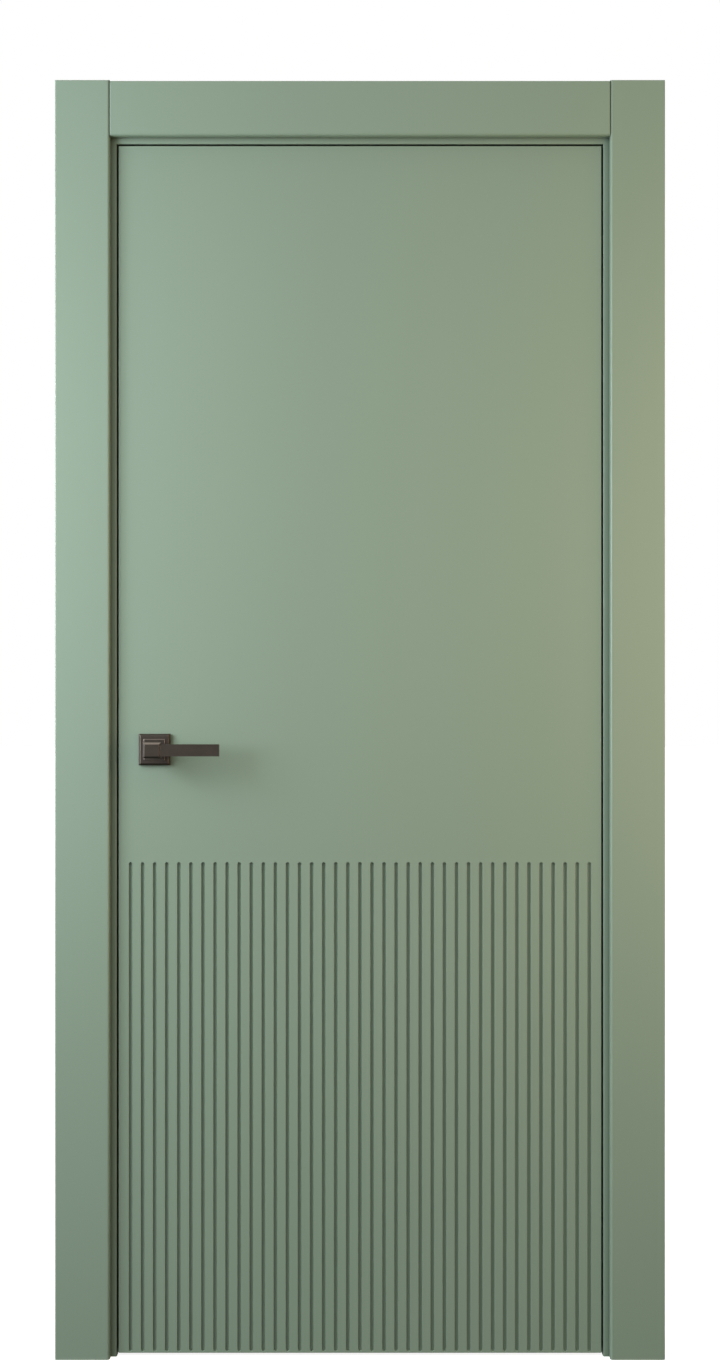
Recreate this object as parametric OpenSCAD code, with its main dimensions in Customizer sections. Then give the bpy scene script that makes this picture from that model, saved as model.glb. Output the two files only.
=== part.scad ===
// Interior door: a flush leaf with a milled lower half, hung in its frame with casings.
// Millimetres. The origin is the middle of the doorway at floor level, halfway through the leaf.
// +X runs towards the hinges, +Y through the wall to the back, +Z up. The leaf opens towards -Y.

/* [Door leaf] */
// Width of the leaf
leaf_w = 800; // [600:10:1100]
// Height of the leaf
leaf_h = 2000; // [1700:10:2400]
// Thickness of the leaf
leaf_t = 40; // [40:1:60]
// Thickness of each outer skin
skin_t = 8; // [6:0.5:9]
// Rounding along the edges of the leaf
leaf_arris = 1; // [0.5:0.25:2]
// Width of the stile that holds the lock
lock_stile_w = 110; // [100:5:160]
// Width of the stile that holds the hinges
hinge_stile_w = 70; // [50:5:120]
// Height of the rail along the top of the leaf
top_rail_h = 80; // [50:5:150]
// Height of the rail along the foot of the leaf
bottom_rail_h = 100; // [50:5:150]

/* [Milled grooves] */
// Width of a groove
groove_w = 6; // [3:0.5:12]
// Depth of a groove
groove_d = 4; // [2:0.5:5]
// Distance between the middles of two grooves
groove_pitch = 20; // [14:1:60]
// Least distance from the leaf's edge to the middle of the first groove
groove_margin = 20; // [12:1:60]
// Height of the grooves' tops above the foot of the leaf
groove_top = 813; // [200:1:1600]
// Height of the grooves' lower ends above the foot of the leaf
groove_foot = 3; // [2:1:100]

/* [Frame] */
// Gap between the leaf and the frame
gap = 3; // [2:0.5:4]
// Gap between the leaf and the floor
floor_gap = 6; // [3:1:15]
// Depth of the frame through the wall
frame_depth = 80; // [75:1:160]
// Thickness of the posts and the head behind the leaf's edge
jamb_t = 34; // [32:1:50]
// Height of the door stop above the face that the leaf's edge meets
stop_h = 12; // [10:1:20]
// Distance between the leaf's back face and the door stop
stop_gap = 4; // [3:0.5:6]
// Rounding of the frame's arrises
jamb_r = 2; // [1:0.5:3]
// Bores for wall fixings in each post
fixing_count = 4; // [2:1:6]
// Radius of a wall fixing's bore
fixing_r = 3.25; // [2:0.25:5]
// Distance of the lowest bore above the floor
fixing_end = 100; // [60:5:120]

/* [Casings] */
// Width of a casing
casing_w = 90; // [60:1:120]
// Thickness of a casing
casing_t = 16; // [12:1:22]
// Strip of the frame that stays in sight beside a casing
casing_reveal = 10; // [6:1:14]
// Height of the side casings above the head casing
casing_rise = 1.5; // [0.5:0.5:10]
// Rounding of the edge next to the doorway
casing_inner_r = 4; // [1:0.5:6]
// Rounding of the edge next to the wall and of the ends
casing_outer_r = 2; // [1:0.5:6]
// Thickness of the tongue that holds a casing in the frame
tongue_t = 5; // [4:0.5:6]
// Length of that tongue
tongue_l = 12; // [8:1:16]
// Distance from the casing's inner edge to the middle of the tongue
tongue_in = 15.5; // [14:0.5:16]

/* [Hinges] */
// Distance from either end of the leaf to the middle of the nearest hinge
hinge_end = 200; // [120:5:300]
// Height of a hinge's face plate
hinge_plate_h = 110; // [100:1:140]
// Height of a hinge's body
hinge_body_h = 56; // [56:1:64]
// Angle to which the leaf opens
swing_max = 100; // [60:1:100]

/* [Handle and lock] */
// Height of the spindle above the foot of the leaf
handle_h = 1000; // [800:5:1150]
// Distance from the leaf's edge to the spindle
backset = 60; // [50:1:70]
// Width of a rosette
rosette_w = 52; // [50:1:60]
// Thickness of a rosette
rosette_t = 8.5; // [7:0.5:12]
// Length of the lever's bar from the spindle's axis
lever_l = 110.5; // [80:0.5:150]
// Height of the lever's bar
lever_bar_h = 19.6; // [14:0.2:24]
// Distance from the leaf to the front of the lever
lever_reach = 58; // [50:1:75]
// Width across the flats of the spindle
spindle_w = 8; // [7:0.5:9]
// Travel of the magnetic bolt
bolt_travel = 10; // [6:0.5:11]
// Length of the lock's forend
forend_l = 200; // [190:1:240]
// Height of the lock's case
case_h = 150; // [140:1:170]

/* [Hidden] */
$fn = 64;

enamel = "#8ea189";
timber = "#c9b48c";
chipboard = "#b99f6e";
satin_metal = "#b4b4b0";
dark_bronze = "#463e37";
nylon = "#2c2c2c";
seal_rubber = "#33362f";

// Play between a housing and its mortise, between running parts, and past the end of a cut
mortise_play = 0.3;
running_play = 0.05;
past = 1;
far = 500;

// Leaf and rebate
leaf_front = -leaf_t / 2;
leaf_back = leaf_t / 2;
leaf_foot = floor_gap;
leaf_mid = floor_gap + leaf_h / 2;
core_t = leaf_t - 2 * skin_t;
rebate_x = leaf_w / 2 + gap;
rebate_z = floor_gap + leaf_h + gap;
groove_count = floor((leaf_w - 2 * groove_margin) / groove_pitch) + 1;

// Frame: s is measured from the face that the leaf's edge meets, outwards into the wall
frame_back = leaf_front + frame_depth;
frame_mid = (leaf_front + frame_back) / 2;
stop_y = leaf_back + stop_gap;
fixing_pitch = (leaf_h - 2 * fixing_end) / (fixing_count - 1);
tongue_play = 0.2;
tongue_s = casing_reveal + tongue_in;
tongue_groove_l = tongue_l + 2;
seal_slot_w = 3;
seal_slot_d = 6;
seal_s = -stop_h / 2;
casing_top_s = casing_reveal + casing_w;

// Wood screws: shank and head radius, length
screw_r = 2;
screw_head_r = 4;
screw_l = 28;
corner_screw_l = 70;
corner_screw_s = 13;
corner_screw_y = [leaf_front + 24, leaf_front + 48];

// Concealed hinges: u runs from the middle of the gap into the frame, v from the swing axis backwards
axis_proud = 2;
hinge_count = 3;
hinge_x = leaf_w / 2 + gap / 2;
hinge_y = leaf_front - axis_proud;
hinge_pitch = (leaf_h - 2 * hinge_end) / (hinge_count - 1);
link_pivot = [5, 14];
link_knuckle = [0, 2 * link_pivot.y];
link_elbow = [-6, 33.5];
link_end = [-15.5, 33.5];
link_half_t = 2.5;
knuckle_r = 4;
link_pin_r = 2.5;
slide_pin_r = 2;
slide_play = 0.1;
hinge_web = 4;
hinge_recess = 1.2;
hinge_wall = 1.5;
link_top = 24;
link_room = 0.5;
hinge_v = [6.8, 38];
hinge_v_mid = (hinge_v[0] + hinge_v[1]) / 2;
hinge_body_w = hinge_v[1] - hinge_v[0];
hinge_depth = 18.5;
hinge_plate_t = 3;
hinge_plate_r = 8;
hinge_plate_lip = 0.4;
hinge_body_r = 2.5;
hinge_screw_z = [hinge_body_h / 2 + 9, hinge_plate_h / 2 - 8];
slot_centre = link_end - link_pivot;
slot_radius = norm(link_pivot);
slot_start = atan2(link_pivot.y, link_pivot.x);

// Lock: x is measured from the leaf's edge, z from the spindle
lock_x = -leaf_w / 2;
spindle_x = lock_x + backset;
spindle_z = leaf_foot + handle_h;
forend_w = 22;
forend_t = 3;
lock_mid = 5;
case_t = 15;
case_wall = 1.5;
case_depth = backset + 25;
bolt_w = 10;
bolt_h = 40;
bolt_l = 28;
bolt_up = 45;
bolt_play = 0.3;
tail_h = 8;
tail_up = bolt_up - bolt_h / 2 + 9;
follower_r = 10;
journal_r = 8.5;
arm_reach = tail_up - tail_h / 2 - 1;
nose_reach = 14.5;
nose_drop = 25;
nose_r = 2;
spring_x = -13;
spring_r = 2.4;
spring_wire_r = 0.5;
spring_turns = 7;
spring_top = 27;
forend_screw_up = forend_l / 2 - 10;

// Strike, behind the bolt in the lock post
strike_l = 120;
strike_t = 3;
strike_hole = [bolt_w + 2, bolt_h + 4];
strike_box_d = bolt_travel + 5;
strike_wall = 1.5;
strike_magnet_t = 3;

// Handle furniture: off is the distance from the leaf's face
rosette_bevel = 3;
rosette_shell = 1.2;
raised_w = 35;
raised_t = 1.4;
base_w = 46;
base_t = 4;
bush_r = 11.5;
collar_r = 10;
collar_off = 2;
neck_w = 20;
block_w = [-13.5, 16];
block_h = 25.5;
block_t = 15;
block_bevel = 3;
bar_t = 9;
bar_set_back = 1.5;
neck_off = rosette_t + raised_t + 0.4;
spindle_off = 36;
rosette_bolt_x = 19;
rosette_bolt_r = 2;
rosette_bolt_head_r = 3.6;
grub_r = 2.5;
grub_off = 28;

// ---- Shapes used in several places ----

// Rectangle about its middle with rounded corners
module rounded_rect(size, r) {
    square([size.x - 2 * r, size.y], center = true);
    square([size.x, size.y - 2 * r], center = true);
    for (i = [-1, 1], j = [-1, 1])
        translate([i * (size.x / 2 - r), j * (size.y / 2 - r)]) circle(r);
}

// What is cut from a square corner at the origin to round it; dir points from the corner inwards
module corner_waste(r, dir) {
    difference() {
        translate([(dir.x - 1) * (r + past) / 2, (dir.y - 1) * (r + past) / 2])
            translate([-dir.x * past, -dir.y * past]) square(r + past);
        translate([dir.x * r, dir.y * r]) circle(r);
    }
}

// Upright slot of width w between two heights
module upright_slot(w, low, high) {
    translate([-w / 2, low + w / 2]) square([w, high - low - w]);
    translate([0, low + w / 2]) circle(w / 2);
    translate([0, high - w / 2]) circle(w / 2);
}

// Box from one corner to the other
module box(low, high) {
    translate(low) cube(high - low);
}

// Block against the plane y = 0, its front at y = -t, with bevelled front edges
module bevelled_block(w, h, t, bevel) {
    intersection() {
        linear_extrude(h, center = true) bevelled_section(w, t, bevel);
        rotate([0, 90, 0]) linear_extrude(w, center = true) bevelled_section(h, t, bevel);
    }
}

module bevelled_section(w, t, bevel) {
    polygon([
        [-w / 2, 0], [w / 2, 0], [w / 2, bevel - t],
        [w / 2 - bevel, -t], [bevel - w / 2, -t], [-w / 2, bevel - t]
    ]);
}

// Countersunk screw along -Z with its head's face at z = 0
module countersunk_screw(r, head_r, l, grow = 0) {
    cone = head_r - r;
    rotate_extrude() polygon([
        [0, grow > 0 ? past : 0], [head_r + grow, grow > 0 ? past : 0], [head_r + grow, 0],
        [r + grow, -cone], [r + grow, -(l - r)], [grow, -l], [0, -l]
    ]);
}

// Wire wound upwards round the Z axis
module coil(r, wire_r, turns, height) {
    sides = 8;
    steps = 20;
    rings = turns * steps;
    points = [
        for (i = [0:rings], j = [0:sides - 1])
            let (a = 360 * i / steps, b = 360 * j / sides, rad = r + wire_r * cos(b))
            [rad * cos(a), rad * sin(a), wire_r + (height - 2 * wire_r) * i / rings + wire_r * sin(b)]
    ];
    walls = [
        for (i = [0:rings - 1], j = [0:sides - 1])
            let (k = (j + 1) % sides)
            [i * sides + j, (i + 1) * sides + j, (i + 1) * sides + k, i * sides + k]
    ];
    first = [for (j = [0:sides - 1]) j];
    last = [for (j = [sides - 1:-1:0]) rings * sides + j];
    polyhedron(points, concat([first], walls, [last]), convexity = 10);
}

// ---- Frame members ----

// Section of the posts and the head, in s and y
module jamb_section() {
    difference() {
        union() {
            translate([0, leaf_front]) square([jamb_t, frame_depth]);
            translate([-stop_h, stop_y]) square([stop_h + past, frame_back - stop_y]);
        }
        translate([0, leaf_front]) corner_waste(jamb_r, [1, 1]);
        translate([-stop_h, stop_y]) corner_waste(jamb_r, [1, 1]);
        translate([-stop_h, frame_back]) corner_waste(jamb_r, [1, -1]);
        translate([seal_s - seal_slot_w / 2, stop_y - past]) square([seal_slot_w, seal_slot_d + past]);
        tongue_groove_section(leaf_front - past);
        tongue_groove_section(frame_back - tongue_groove_l);
    }
}

module tongue_groove_section(from) {
    translate([tongue_s - tongue_t / 2 - tongue_play, from])
        square([tongue_t + 2 * tongue_play, tongue_groove_l + past]);
}

// Section of a seal: a tube in front of the stop, on a stem in the stop's slot
module seal_section() {
    bulb_r = (stop_gap - mortise_play) / 2;
    difference() {
        union() {
            translate([seal_s, stop_y - bulb_r]) circle(bulb_r);
            translate([seal_s - 3, stop_y - 0.8]) square([6, 0.8]);
            translate([seal_s - 1, stop_y - 0.8]) square([2, 5]);
            translate([seal_s - seal_slot_w / 2, stop_y + 2]) square([seal_slot_w, 1]);
        }
        translate([seal_s, stop_y - bulb_r]) circle(bulb_r - 0.6);
    }
}

// Section of a casing with its tongue, in s and y, for the front of the frame
module casing_section() {
    difference() {
        translate([casing_reveal, leaf_front - casing_t]) square([casing_w, casing_t]);
        translate([casing_reveal, leaf_front - casing_t]) corner_waste(casing_inner_r, [1, 1]);
        translate([casing_top_s, leaf_front - casing_t]) corner_waste(casing_outer_r, [-1, 1]);
    }
    translate([tongue_s - tongue_t / 2, leaf_front - past]) square([tongue_t, tongue_l + past]);
}

// An upright on the hinge side with its top mitred to meet the head, from s_low to s_high
module mitred_upright(s_low, s_high) {
    translate([rebate_x, 0, 0]) intersection() {
        linear_extrude(rebate_z + s_high + past) children();
        rotate([90, 0, 0]) linear_extrude(2 * far, center = true) polygon([
            [s_low - past, 0], [s_high + past, 0],
            [s_high + past, rebate_z + s_high + past], [s_low - past, rebate_z + s_low - past]
        ]);
    }
}

// A member along the head with both ends mitred, from s_low to s_high
module mitred_head(s_low, s_high) {
    low = [rebate_x + s_low - past, rebate_z + s_low - past];
    high = [rebate_x + s_high + past, rebate_z + s_high + past];
    intersection() {
        translate([0, 0, rebate_z]) rotate([0, -90, 0])
            linear_extrude(2 * high.x, center = true) children();
        rotate([90, 0, 0]) linear_extrude(2 * far, center = true)
            polygon([[-low.x, low.y], [low.x, low.y], [high.x, high.y], [-high.x, high.y]]);
    }
}

// A piece on the hinge side, and its mirror image on the lock side
module on_lock_side() {
    mirror([1, 0, 0]) children();
}

// A piece of the frame's front, turned over to its back
module on_back() {
    translate([0, 2 * frame_mid, 0]) mirror([0, 1, 0]) children();
}

module fixing_bores() {
    for (i = [0:fixing_count - 1])
        translate([rebate_x - past, 0, fixing_end + i * fixing_pitch])
            rotate([0, 90, 0]) cylinder(r = fixing_r, h = jamb_t + 2 * past);
}

// Screws through the posts' outer faces into the ends of the head
module hinge_side_corner_screws() {
    for (y = corner_screw_y)
        translate([rebate_x + jamb_t, y, rebate_z + corner_screw_s])
            rotate([0, 90, 0]) countersunk_screw(screw_r, screw_head_r, corner_screw_l);
}

module hinge_post() {
    color(enamel) difference() {
        mitred_upright(-stop_h, jamb_t) jamb_section();
        fixing_bores();
        hinge_side_corner_screws();
        for (i = [1:hinge_count]) at_hinge(i) hinge_mortise();
        frame_screw_places() countersunk_screw(screw_r, screw_head_r, screw_l);
    }
}

module lock_post() {
    color(enamel) difference() {
        on_lock_side() difference() {
            mitred_upright(-stop_h, jamb_t) jamb_section();
            fixing_bores();
            hinge_side_corner_screws();
        }
        strike_mortise();
        strike_screw_places() countersunk_screw(screw_r, screw_head_r, screw_l);
    }
}

module head_jamb() {
    color(enamel) difference() {
        mitred_head(-stop_h, jamb_t) jamb_section();
        hinge_side_corner_screws();
        on_lock_side() hinge_side_corner_screws();
    }
}

module corner_screws() {
    color(satin_metal) {
        hinge_side_corner_screws();
        on_lock_side() hinge_side_corner_screws();
    }
}

module hinge_side_seal() {
    color(seal_rubber) mitred_upright(-stop_h, 0) seal_section();
}

module lock_side_seal() {
    on_lock_side() hinge_side_seal();
}

module head_seal() {
    color(seal_rubber) mitred_head(-stop_h, 0) seal_section();
}

// ---- Casings ----

// Right-hand upright of the front; its top edge is rounded too, and its tongue ends at the post's mitre
module side_casing() {
    top = rebate_z + casing_top_s + casing_rise;
    tongue_top = rebate_z + tongue_s - tongue_t / 2 - tongue_play;
    color(enamel) difference() {
        translate([rebate_x, 0, 0]) linear_extrude(top) casing_section();
        translate([rebate_x, 0, 0]) rotate([90, 0, 90]) linear_extrude(2 * far, center = true)
            translate([leaf_front - casing_t, top]) corner_waste(casing_outer_r, [1, -1]);
        box([rebate_x, leaf_front, tongue_top], [rebate_x + casing_top_s, frame_mid, top + past]);
    }
}

// The front's head casing, which fits between the uprights; its ends are rounded too
module head_casing() {
    half = rebate_x + casing_reveal;
    color(enamel) difference() {
        translate([0, 0, rebate_z]) rotate([0, -90, 0])
            linear_extrude(2 * half, center = true) casing_section();
        for (side = [0, 1]) mirror([side, 0, 0])
            translate([half, leaf_front - casing_t, 0])
                linear_extrude(2 * leaf_h) corner_waste(casing_outer_r, [-1, 1]);
    }
}

module front_casing_right() { side_casing(); }
module front_casing_left() { on_lock_side() side_casing(); }
module front_casing_head() { head_casing(); }
module back_casing_right() { on_back() side_casing(); }
module back_casing_left() { on_back() on_lock_side() side_casing(); }
module back_casing_head() { on_back() head_casing(); }

// ---- Leaf ----

module leaf_blank() {
    intersection() {
        translate([0, 0, leaf_foot]) linear_extrude(leaf_h) rounded_rect([leaf_w, leaf_t], leaf_arris);
        rotate([90, 0, 90]) linear_extrude(leaf_w, center = true)
            translate([0, leaf_mid]) rounded_rect([leaf_t, leaf_h], leaf_arris);
    }
}

module leaf_layer(from, to) {
    intersection() {
        leaf_blank();
        box([-leaf_w, from, 0], [leaf_w, to, 2 * leaf_h]);
    }
}

module groove_cuts() {
    for (i = [0:groove_count - 1])
        translate([(i - (groove_count - 1) / 2) * groove_pitch, leaf_front, leaf_foot])
            rotate([90, 0, 0]) linear_extrude(2 * groove_d, center = true)
                upright_slot(groove_w, groove_foot, groove_top);
}

// Room through the leaf for the spindle and the bolts of the rosettes
module handle_holes() {
    translate([spindle_x, 0, spindle_z]) rotate([90, 0, 0]) {
        cylinder(r = bush_r - 1, h = leaf_t + 2 * past, center = true);
        for (side = [-1, 1]) translate([side * rosette_bolt_x, 0, 0])
            cylinder(r = rosette_bolt_r + mortise_play, h = leaf_t + 2 * past, center = true);
    }
}

module leaf_hinge_mortises() {
    for (i = [1:hinge_count]) at_hinge(i) other_half() hinge_mortise();
}

module front_skin() {
    color(enamel) difference() {
        leaf_layer(leaf_front, leaf_front + skin_t);
        groove_cuts();
        handle_holes();
        leaf_hinge_mortises();
    }
}

module back_skin() {
    color(enamel) difference() {
        leaf_layer(leaf_back - skin_t, leaf_back);
        handle_holes();
        leaf_hinge_mortises();
    }
}

module lock_stile() {
    color(timber) difference() {
        box([-leaf_w / 2, -core_t / 2, leaf_foot + leaf_arris],
            [lock_stile_w - leaf_w / 2, core_t / 2, leaf_foot + leaf_h - leaf_arris]);
        lock_mortise();
        handle_holes();
        forend_screw_places() countersunk_screw(screw_r, screw_head_r, screw_l);
    }
}

module hinge_stile() {
    color(timber) difference() {
        box([leaf_w / 2 - hinge_stile_w, -core_t / 2, leaf_foot + leaf_arris],
            [leaf_w / 2, core_t / 2, leaf_foot + leaf_h - leaf_arris]);
        leaf_hinge_mortises();
        leaf_screw_places() countersunk_screw(screw_r, screw_head_r, screw_l);
    }
}

// Part of the core between the stiles, from one height above the leaf's foot to another
module core_part(from, to) {
    box([lock_stile_w - leaf_w / 2, -core_t / 2, leaf_foot + from],
        [leaf_w / 2 - hinge_stile_w, core_t / 2, leaf_foot + to]);
}

module top_rail() {
    color(timber) core_part(leaf_h - top_rail_h, leaf_h - leaf_arris);
}

module bottom_rail() {
    color(timber) core_part(leaf_arris, bottom_rail_h);
}

module core_panel() {
    color(chipboard) core_part(bottom_rail_h, leaf_h - top_rail_h);
}

// ---- Concealed hinges ----

// The local frame of hinge i, counted from the floor
module at_hinge(i) {
    translate([hinge_x, hinge_y, leaf_foot + hinge_end + (i - 1) * hinge_pitch]) children();
}

// Half a turn about v: takes the frame's half of a hinge to the leaf's half
module other_half() {
    rotate([0, 180, 0]) children();
}

// Rounded rectangle in v and z, from one u to another
module hinge_slab(from, to, width, height, r) {
    translate([from, hinge_v_mid, 0]) rotate([90, 0, 90])
        linear_extrude(to - from) rounded_rect([width, height], r);
}

// Face plate and body of one half; they project a little less than their mortise is deep and wide
module hinge_plate(front = 0, grow = 0) {
    face = gap / 2;
    hinge_slab(face - front, face + hinge_plate_t, hinge_body_w + 2 * (hinge_plate_lip + grow),
        hinge_plate_h + 2 * grow, hinge_plate_r);
}

module hinge_body(grow = 0) {
    face = gap / 2;
    hinge_slab(face + hinge_plate_t / 2, face + hinge_depth + hinge_wall + grow, hinge_body_w + 2 * grow,
        hinge_body_h + 2 * grow, hinge_body_r);
}

module hinge_mortise() {
    hinge_plate(past, mortise_play);
    hinge_body(mortise_play);
}

module link_pin_place(at, from, to, r) {
    translate([at.x, at.y, from]) cylinder(r = r, h = to - from);
}

// Curved slot that guides the far end of the other half's arm, between two heights; its ends are
// drilled a little wider than it is milled
module arm_slot(from, to) {
    r = slide_pin_r + slide_play;
    reach = 2 * slot_radius;
    stop = slot_start - swing_max;
    translate([0, 0, from]) linear_extrude(to - from)
        mirror([1, 0]) translate(slot_centre) {
            intersection() {
                difference() {
                    circle(slot_radius + r);
                    circle(slot_radius - r);
                }
                polygon([
                    [0, 0], for (i = [0:2]) let (a = stop + i * swing_max / 2) reach * [cos(a), sin(a)]
                ]);
            }
            for (a = [slot_start, stop]) rotate(a) translate([slot_radius, 0]) circle(r + 0.1);
        }
}

// Frame half of a hinge: its own arm turns in the lower chamber, the leaf's arm slides in the upper
module hinge_housing() {
    face = gap / 2;
    end = face + hinge_depth;
    chamber_top = link_top + link_room;
    color(satin_metal) difference() {
        union() {
            hinge_plate();
            hinge_body();
        }
        for (low = [-chamber_top, hinge_web / 2])
            box([face - past, hinge_v[0] + hinge_wall, low],
                [end, hinge_v[1] - hinge_wall, low + chamber_top - hinge_web / 2]);
        link_pin_place(link_knuckle, -hinge_web, hinge_web, knuckle_r + link_room);
        link_pin_place(link_pivot, -chamber_top - 2, -hinge_web / 2 + hinge_recess, link_pin_r);
        arm_slot(chamber_top - past, chamber_top + 2.5);
        arm_slot(hinge_web / 2 - hinge_recess, hinge_web / 2 + past);
        hinge_screw_spots() countersunk_screw(screw_r, screw_head_r, screw_l, running_play);
    }
}

// Places of one half's four screws, driven into the frame
module hinge_screw_spots() {
    for (z = hinge_screw_z, side = [-1, 1])
        translate([gap / 2, hinge_v_mid, side * z]) rotate([0, -90, 0]) children();
}

module frame_screw_places() {
    for (i = [1:hinge_count]) at_hinge(i) hinge_screw_spots() children();
}

module leaf_screw_places() {
    for (i = [1:hinge_count]) at_hinge(i) other_half() hinge_screw_spots() children();
}

module link_bar(from, to) {
    reach = to - from;
    translate(from) rotate([0, 0, atan2(reach.y, reach.x)])
        translate([0, -link_half_t]) square([norm(reach), 2 * link_half_t]);
}

// Arm that turns on the frame half's pivot pin and slides in the leaf half's slot
module hinge_arm() {
    outer = link_top + link_room + 2.3;
    color(satin_metal) {
        difference() {
            translate([0, 0, -link_top]) linear_extrude(link_top - hinge_web / 2 - link_room) {
                translate(link_pivot) circle(knuckle_r);
                translate(link_knuckle) circle(knuckle_r);
                translate(link_elbow) circle(link_half_t);
                translate(link_end) circle(link_half_t);
                link_bar(link_pivot, link_knuckle);
                link_bar(link_knuckle, link_elbow);
                link_bar(link_elbow, link_end);
            }
            link_pin_place(link_pivot, -far, far, link_pin_r + running_play);
            link_pin_place(link_knuckle, -far, far, link_pin_r + running_play);
        }
        link_pin_place(link_end, -outer, -hinge_web / 2 + hinge_recess - 0.2, slide_pin_r);
    }
}

module frame_pivot_pin() {
    link_pin_place(link_pivot, -link_top - link_room - 2, -hinge_web / 2 + hinge_recess, link_pin_r);
}

module hinge_1_frame_housing() { at_hinge(1) hinge_housing(); }
module hinge_2_frame_housing() { at_hinge(2) hinge_housing(); }
module hinge_3_frame_housing() { at_hinge(3) hinge_housing(); }
module hinge_1_leaf_housing() { at_hinge(1) other_half() hinge_housing(); }
module hinge_2_leaf_housing() { at_hinge(2) other_half() hinge_housing(); }
module hinge_3_leaf_housing() { at_hinge(3) other_half() hinge_housing(); }
module hinge_1_frame_arm() { at_hinge(1) hinge_arm(); }
module hinge_2_frame_arm() { at_hinge(2) hinge_arm(); }
module hinge_3_frame_arm() { at_hinge(3) hinge_arm(); }
module hinge_1_leaf_arm() { at_hinge(1) other_half() hinge_arm(); }
module hinge_2_leaf_arm() { at_hinge(2) other_half() hinge_arm(); }
module hinge_3_leaf_arm() { at_hinge(3) other_half() hinge_arm(); }

module frame_pivot_pins() {
    color(satin_metal) for (i = [1:hinge_count]) at_hinge(i) frame_pivot_pin();
}

module leaf_pivot_pins() {
    color(satin_metal) for (i = [1:hinge_count]) at_hinge(i) other_half() frame_pivot_pin();
}

// Pins that join the two arms of each hinge where they cross
module center_pins() {
    color(satin_metal) for (i = [1:hinge_count]) at_hinge(i)
        link_pin_place(link_knuckle, -link_top, link_top, link_pin_r);
}

module frame_hinge_screws() {
    color(satin_metal) frame_screw_places() countersunk_screw(screw_r, screw_head_r, screw_l);
}

module leaf_hinge_screws() {
    color(satin_metal) leaf_screw_places() countersunk_screw(screw_r, screw_head_r, screw_l);
}

// ---- Lock ----

// Upright plate with round ends, facing -X, from one x to another, about the height z
module edge_plate(from, to, l, z, grow = 0) {
    w = forend_w + 2 * grow;
    translate([from, 0, z]) rotate([90, 0, 90]) linear_extrude(to - from)
        upright_slot(w, -l / 2 - grow, l / 2 + grow);
}

module lock_mortise() {
    edge_plate(lock_x - past, lock_x + forend_t, forend_l, spindle_z + lock_mid, mortise_play);
    box([lock_x, -case_t / 2 - mortise_play, spindle_z + lock_mid - case_h / 2 - mortise_play],
        [lock_x + case_depth + mortise_play, case_t / 2 + mortise_play,
            spindle_z + lock_mid + case_h / 2 + mortise_play]);
}

module forend_screw_places() {
    for (side = [-1, 1])
        translate([lock_x, 0, spindle_z + lock_mid + side * forend_screw_up])
            rotate([0, -90, 0]) children();
}

// Holes in the case's two large faces
module case_holes() {
    translate([spindle_x, 0, spindle_z]) rotate([90, 0, 0]) {
        cylinder(r = journal_r + running_play, h = case_t + 2 * past, center = true);
        for (side = [-1, 1]) translate([side * rosette_bolt_x, 0, 0])
            cylinder(r = rosette_bolt_r + mortise_play, h = case_t + 2 * past, center = true);
    }
}

// Opening for the bolt in the forend and the case's front wall
module bolt_opening() {
    box([lock_x - past, -bolt_w / 2 - bolt_play, spindle_z + bolt_up - bolt_h / 2 - bolt_play],
        [lock_x + forend_t + case_wall + past, bolt_w / 2 + bolt_play,
            spindle_z + bolt_up + bolt_h / 2 + bolt_play]);
}

// Tray of the lock with its walls and the seat of the return spring
module lock_case() {
    low = spindle_z + lock_mid - case_h / 2;
    high = low + case_h;
    front = lock_x + forend_t;
    rear = lock_x + case_depth;
    color(satin_metal) difference() {
        union() {
            difference() {
                box([front, -case_t / 2 + case_wall, low], [rear, case_t / 2, high]);
                box([front + case_wall, -case_t / 2, low + case_wall],
                    [rear - case_wall, case_t / 2 - case_wall, high - case_wall]);
            }
            translate([spindle_x + spring_x - 5, -4, spindle_z + spring_top])
                cube([10, case_t / 2 + 3, 1.5]);
        }
        case_holes();
        bolt_opening();
    }
}

module lock_cover() {
    low = spindle_z + lock_mid - case_h / 2;
    color(satin_metal) difference() {
        box([lock_x + forend_t, -case_t / 2, low],
            [lock_x + case_depth, -case_t / 2 + case_wall, low + case_h]);
        case_holes();
    }
}

module lock_forend() {
    color(satin_metal) difference() {
        edge_plate(lock_x, lock_x + forend_t, forend_l, spindle_z + lock_mid);
        bolt_opening();
        forend_screw_places() countersunk_screw(screw_r, screw_head_r, screw_l, running_play);
    }
}

module forend_screws() {
    color(satin_metal) forend_screw_places() countersunk_screw(screw_r, screw_head_r, screw_l);
}

// The bolt's head and its tail, drawn back flush with the forend
module magnetic_bolt() {
    tail_end = spindle_x + 6;
    color(satin_metal) {
        box([lock_x, -bolt_w / 2, spindle_z + bolt_up - bolt_h / 2],
            [lock_x + bolt_l, bolt_w / 2, spindle_z + bolt_up + bolt_h / 2]);
        box([lock_x + bolt_l - past, -2, spindle_z + tail_up - tail_h / 2],
            [tail_end, 2, spindle_z + tail_up + tail_h / 2]);
    }
}

// Hub on the spindle, with an arm towards the bolt and a nose under the return spring
module follower() {
    hub_t = case_t - 2 * case_wall - 0.6;
    arm_w = 6;
    color(satin_metal) translate([spindle_x, 0, spindle_z]) rotate([90, 0, 0]) difference() {
        union() {
            cylinder(r = follower_r, h = hub_t, center = true);
            cylinder(r = journal_r, h = case_t, center = true);
            translate([-arm_w / 2, 0, -2]) cube([arm_w, arm_reach, 4]);
            rotate([0, 0, 180 + nose_drop]) translate([0, -nose_r, -2]) cube([nose_reach, 2 * nose_r, 4]);
            rotate([0, 0, 180 + nose_drop]) translate([nose_reach, 0, -2]) cylinder(r = nose_r, h = 4);
        }
        cube([spindle_w + 2 * running_play, spindle_w + 2 * running_play, 2 * case_t], center = true);
    }
}

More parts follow.
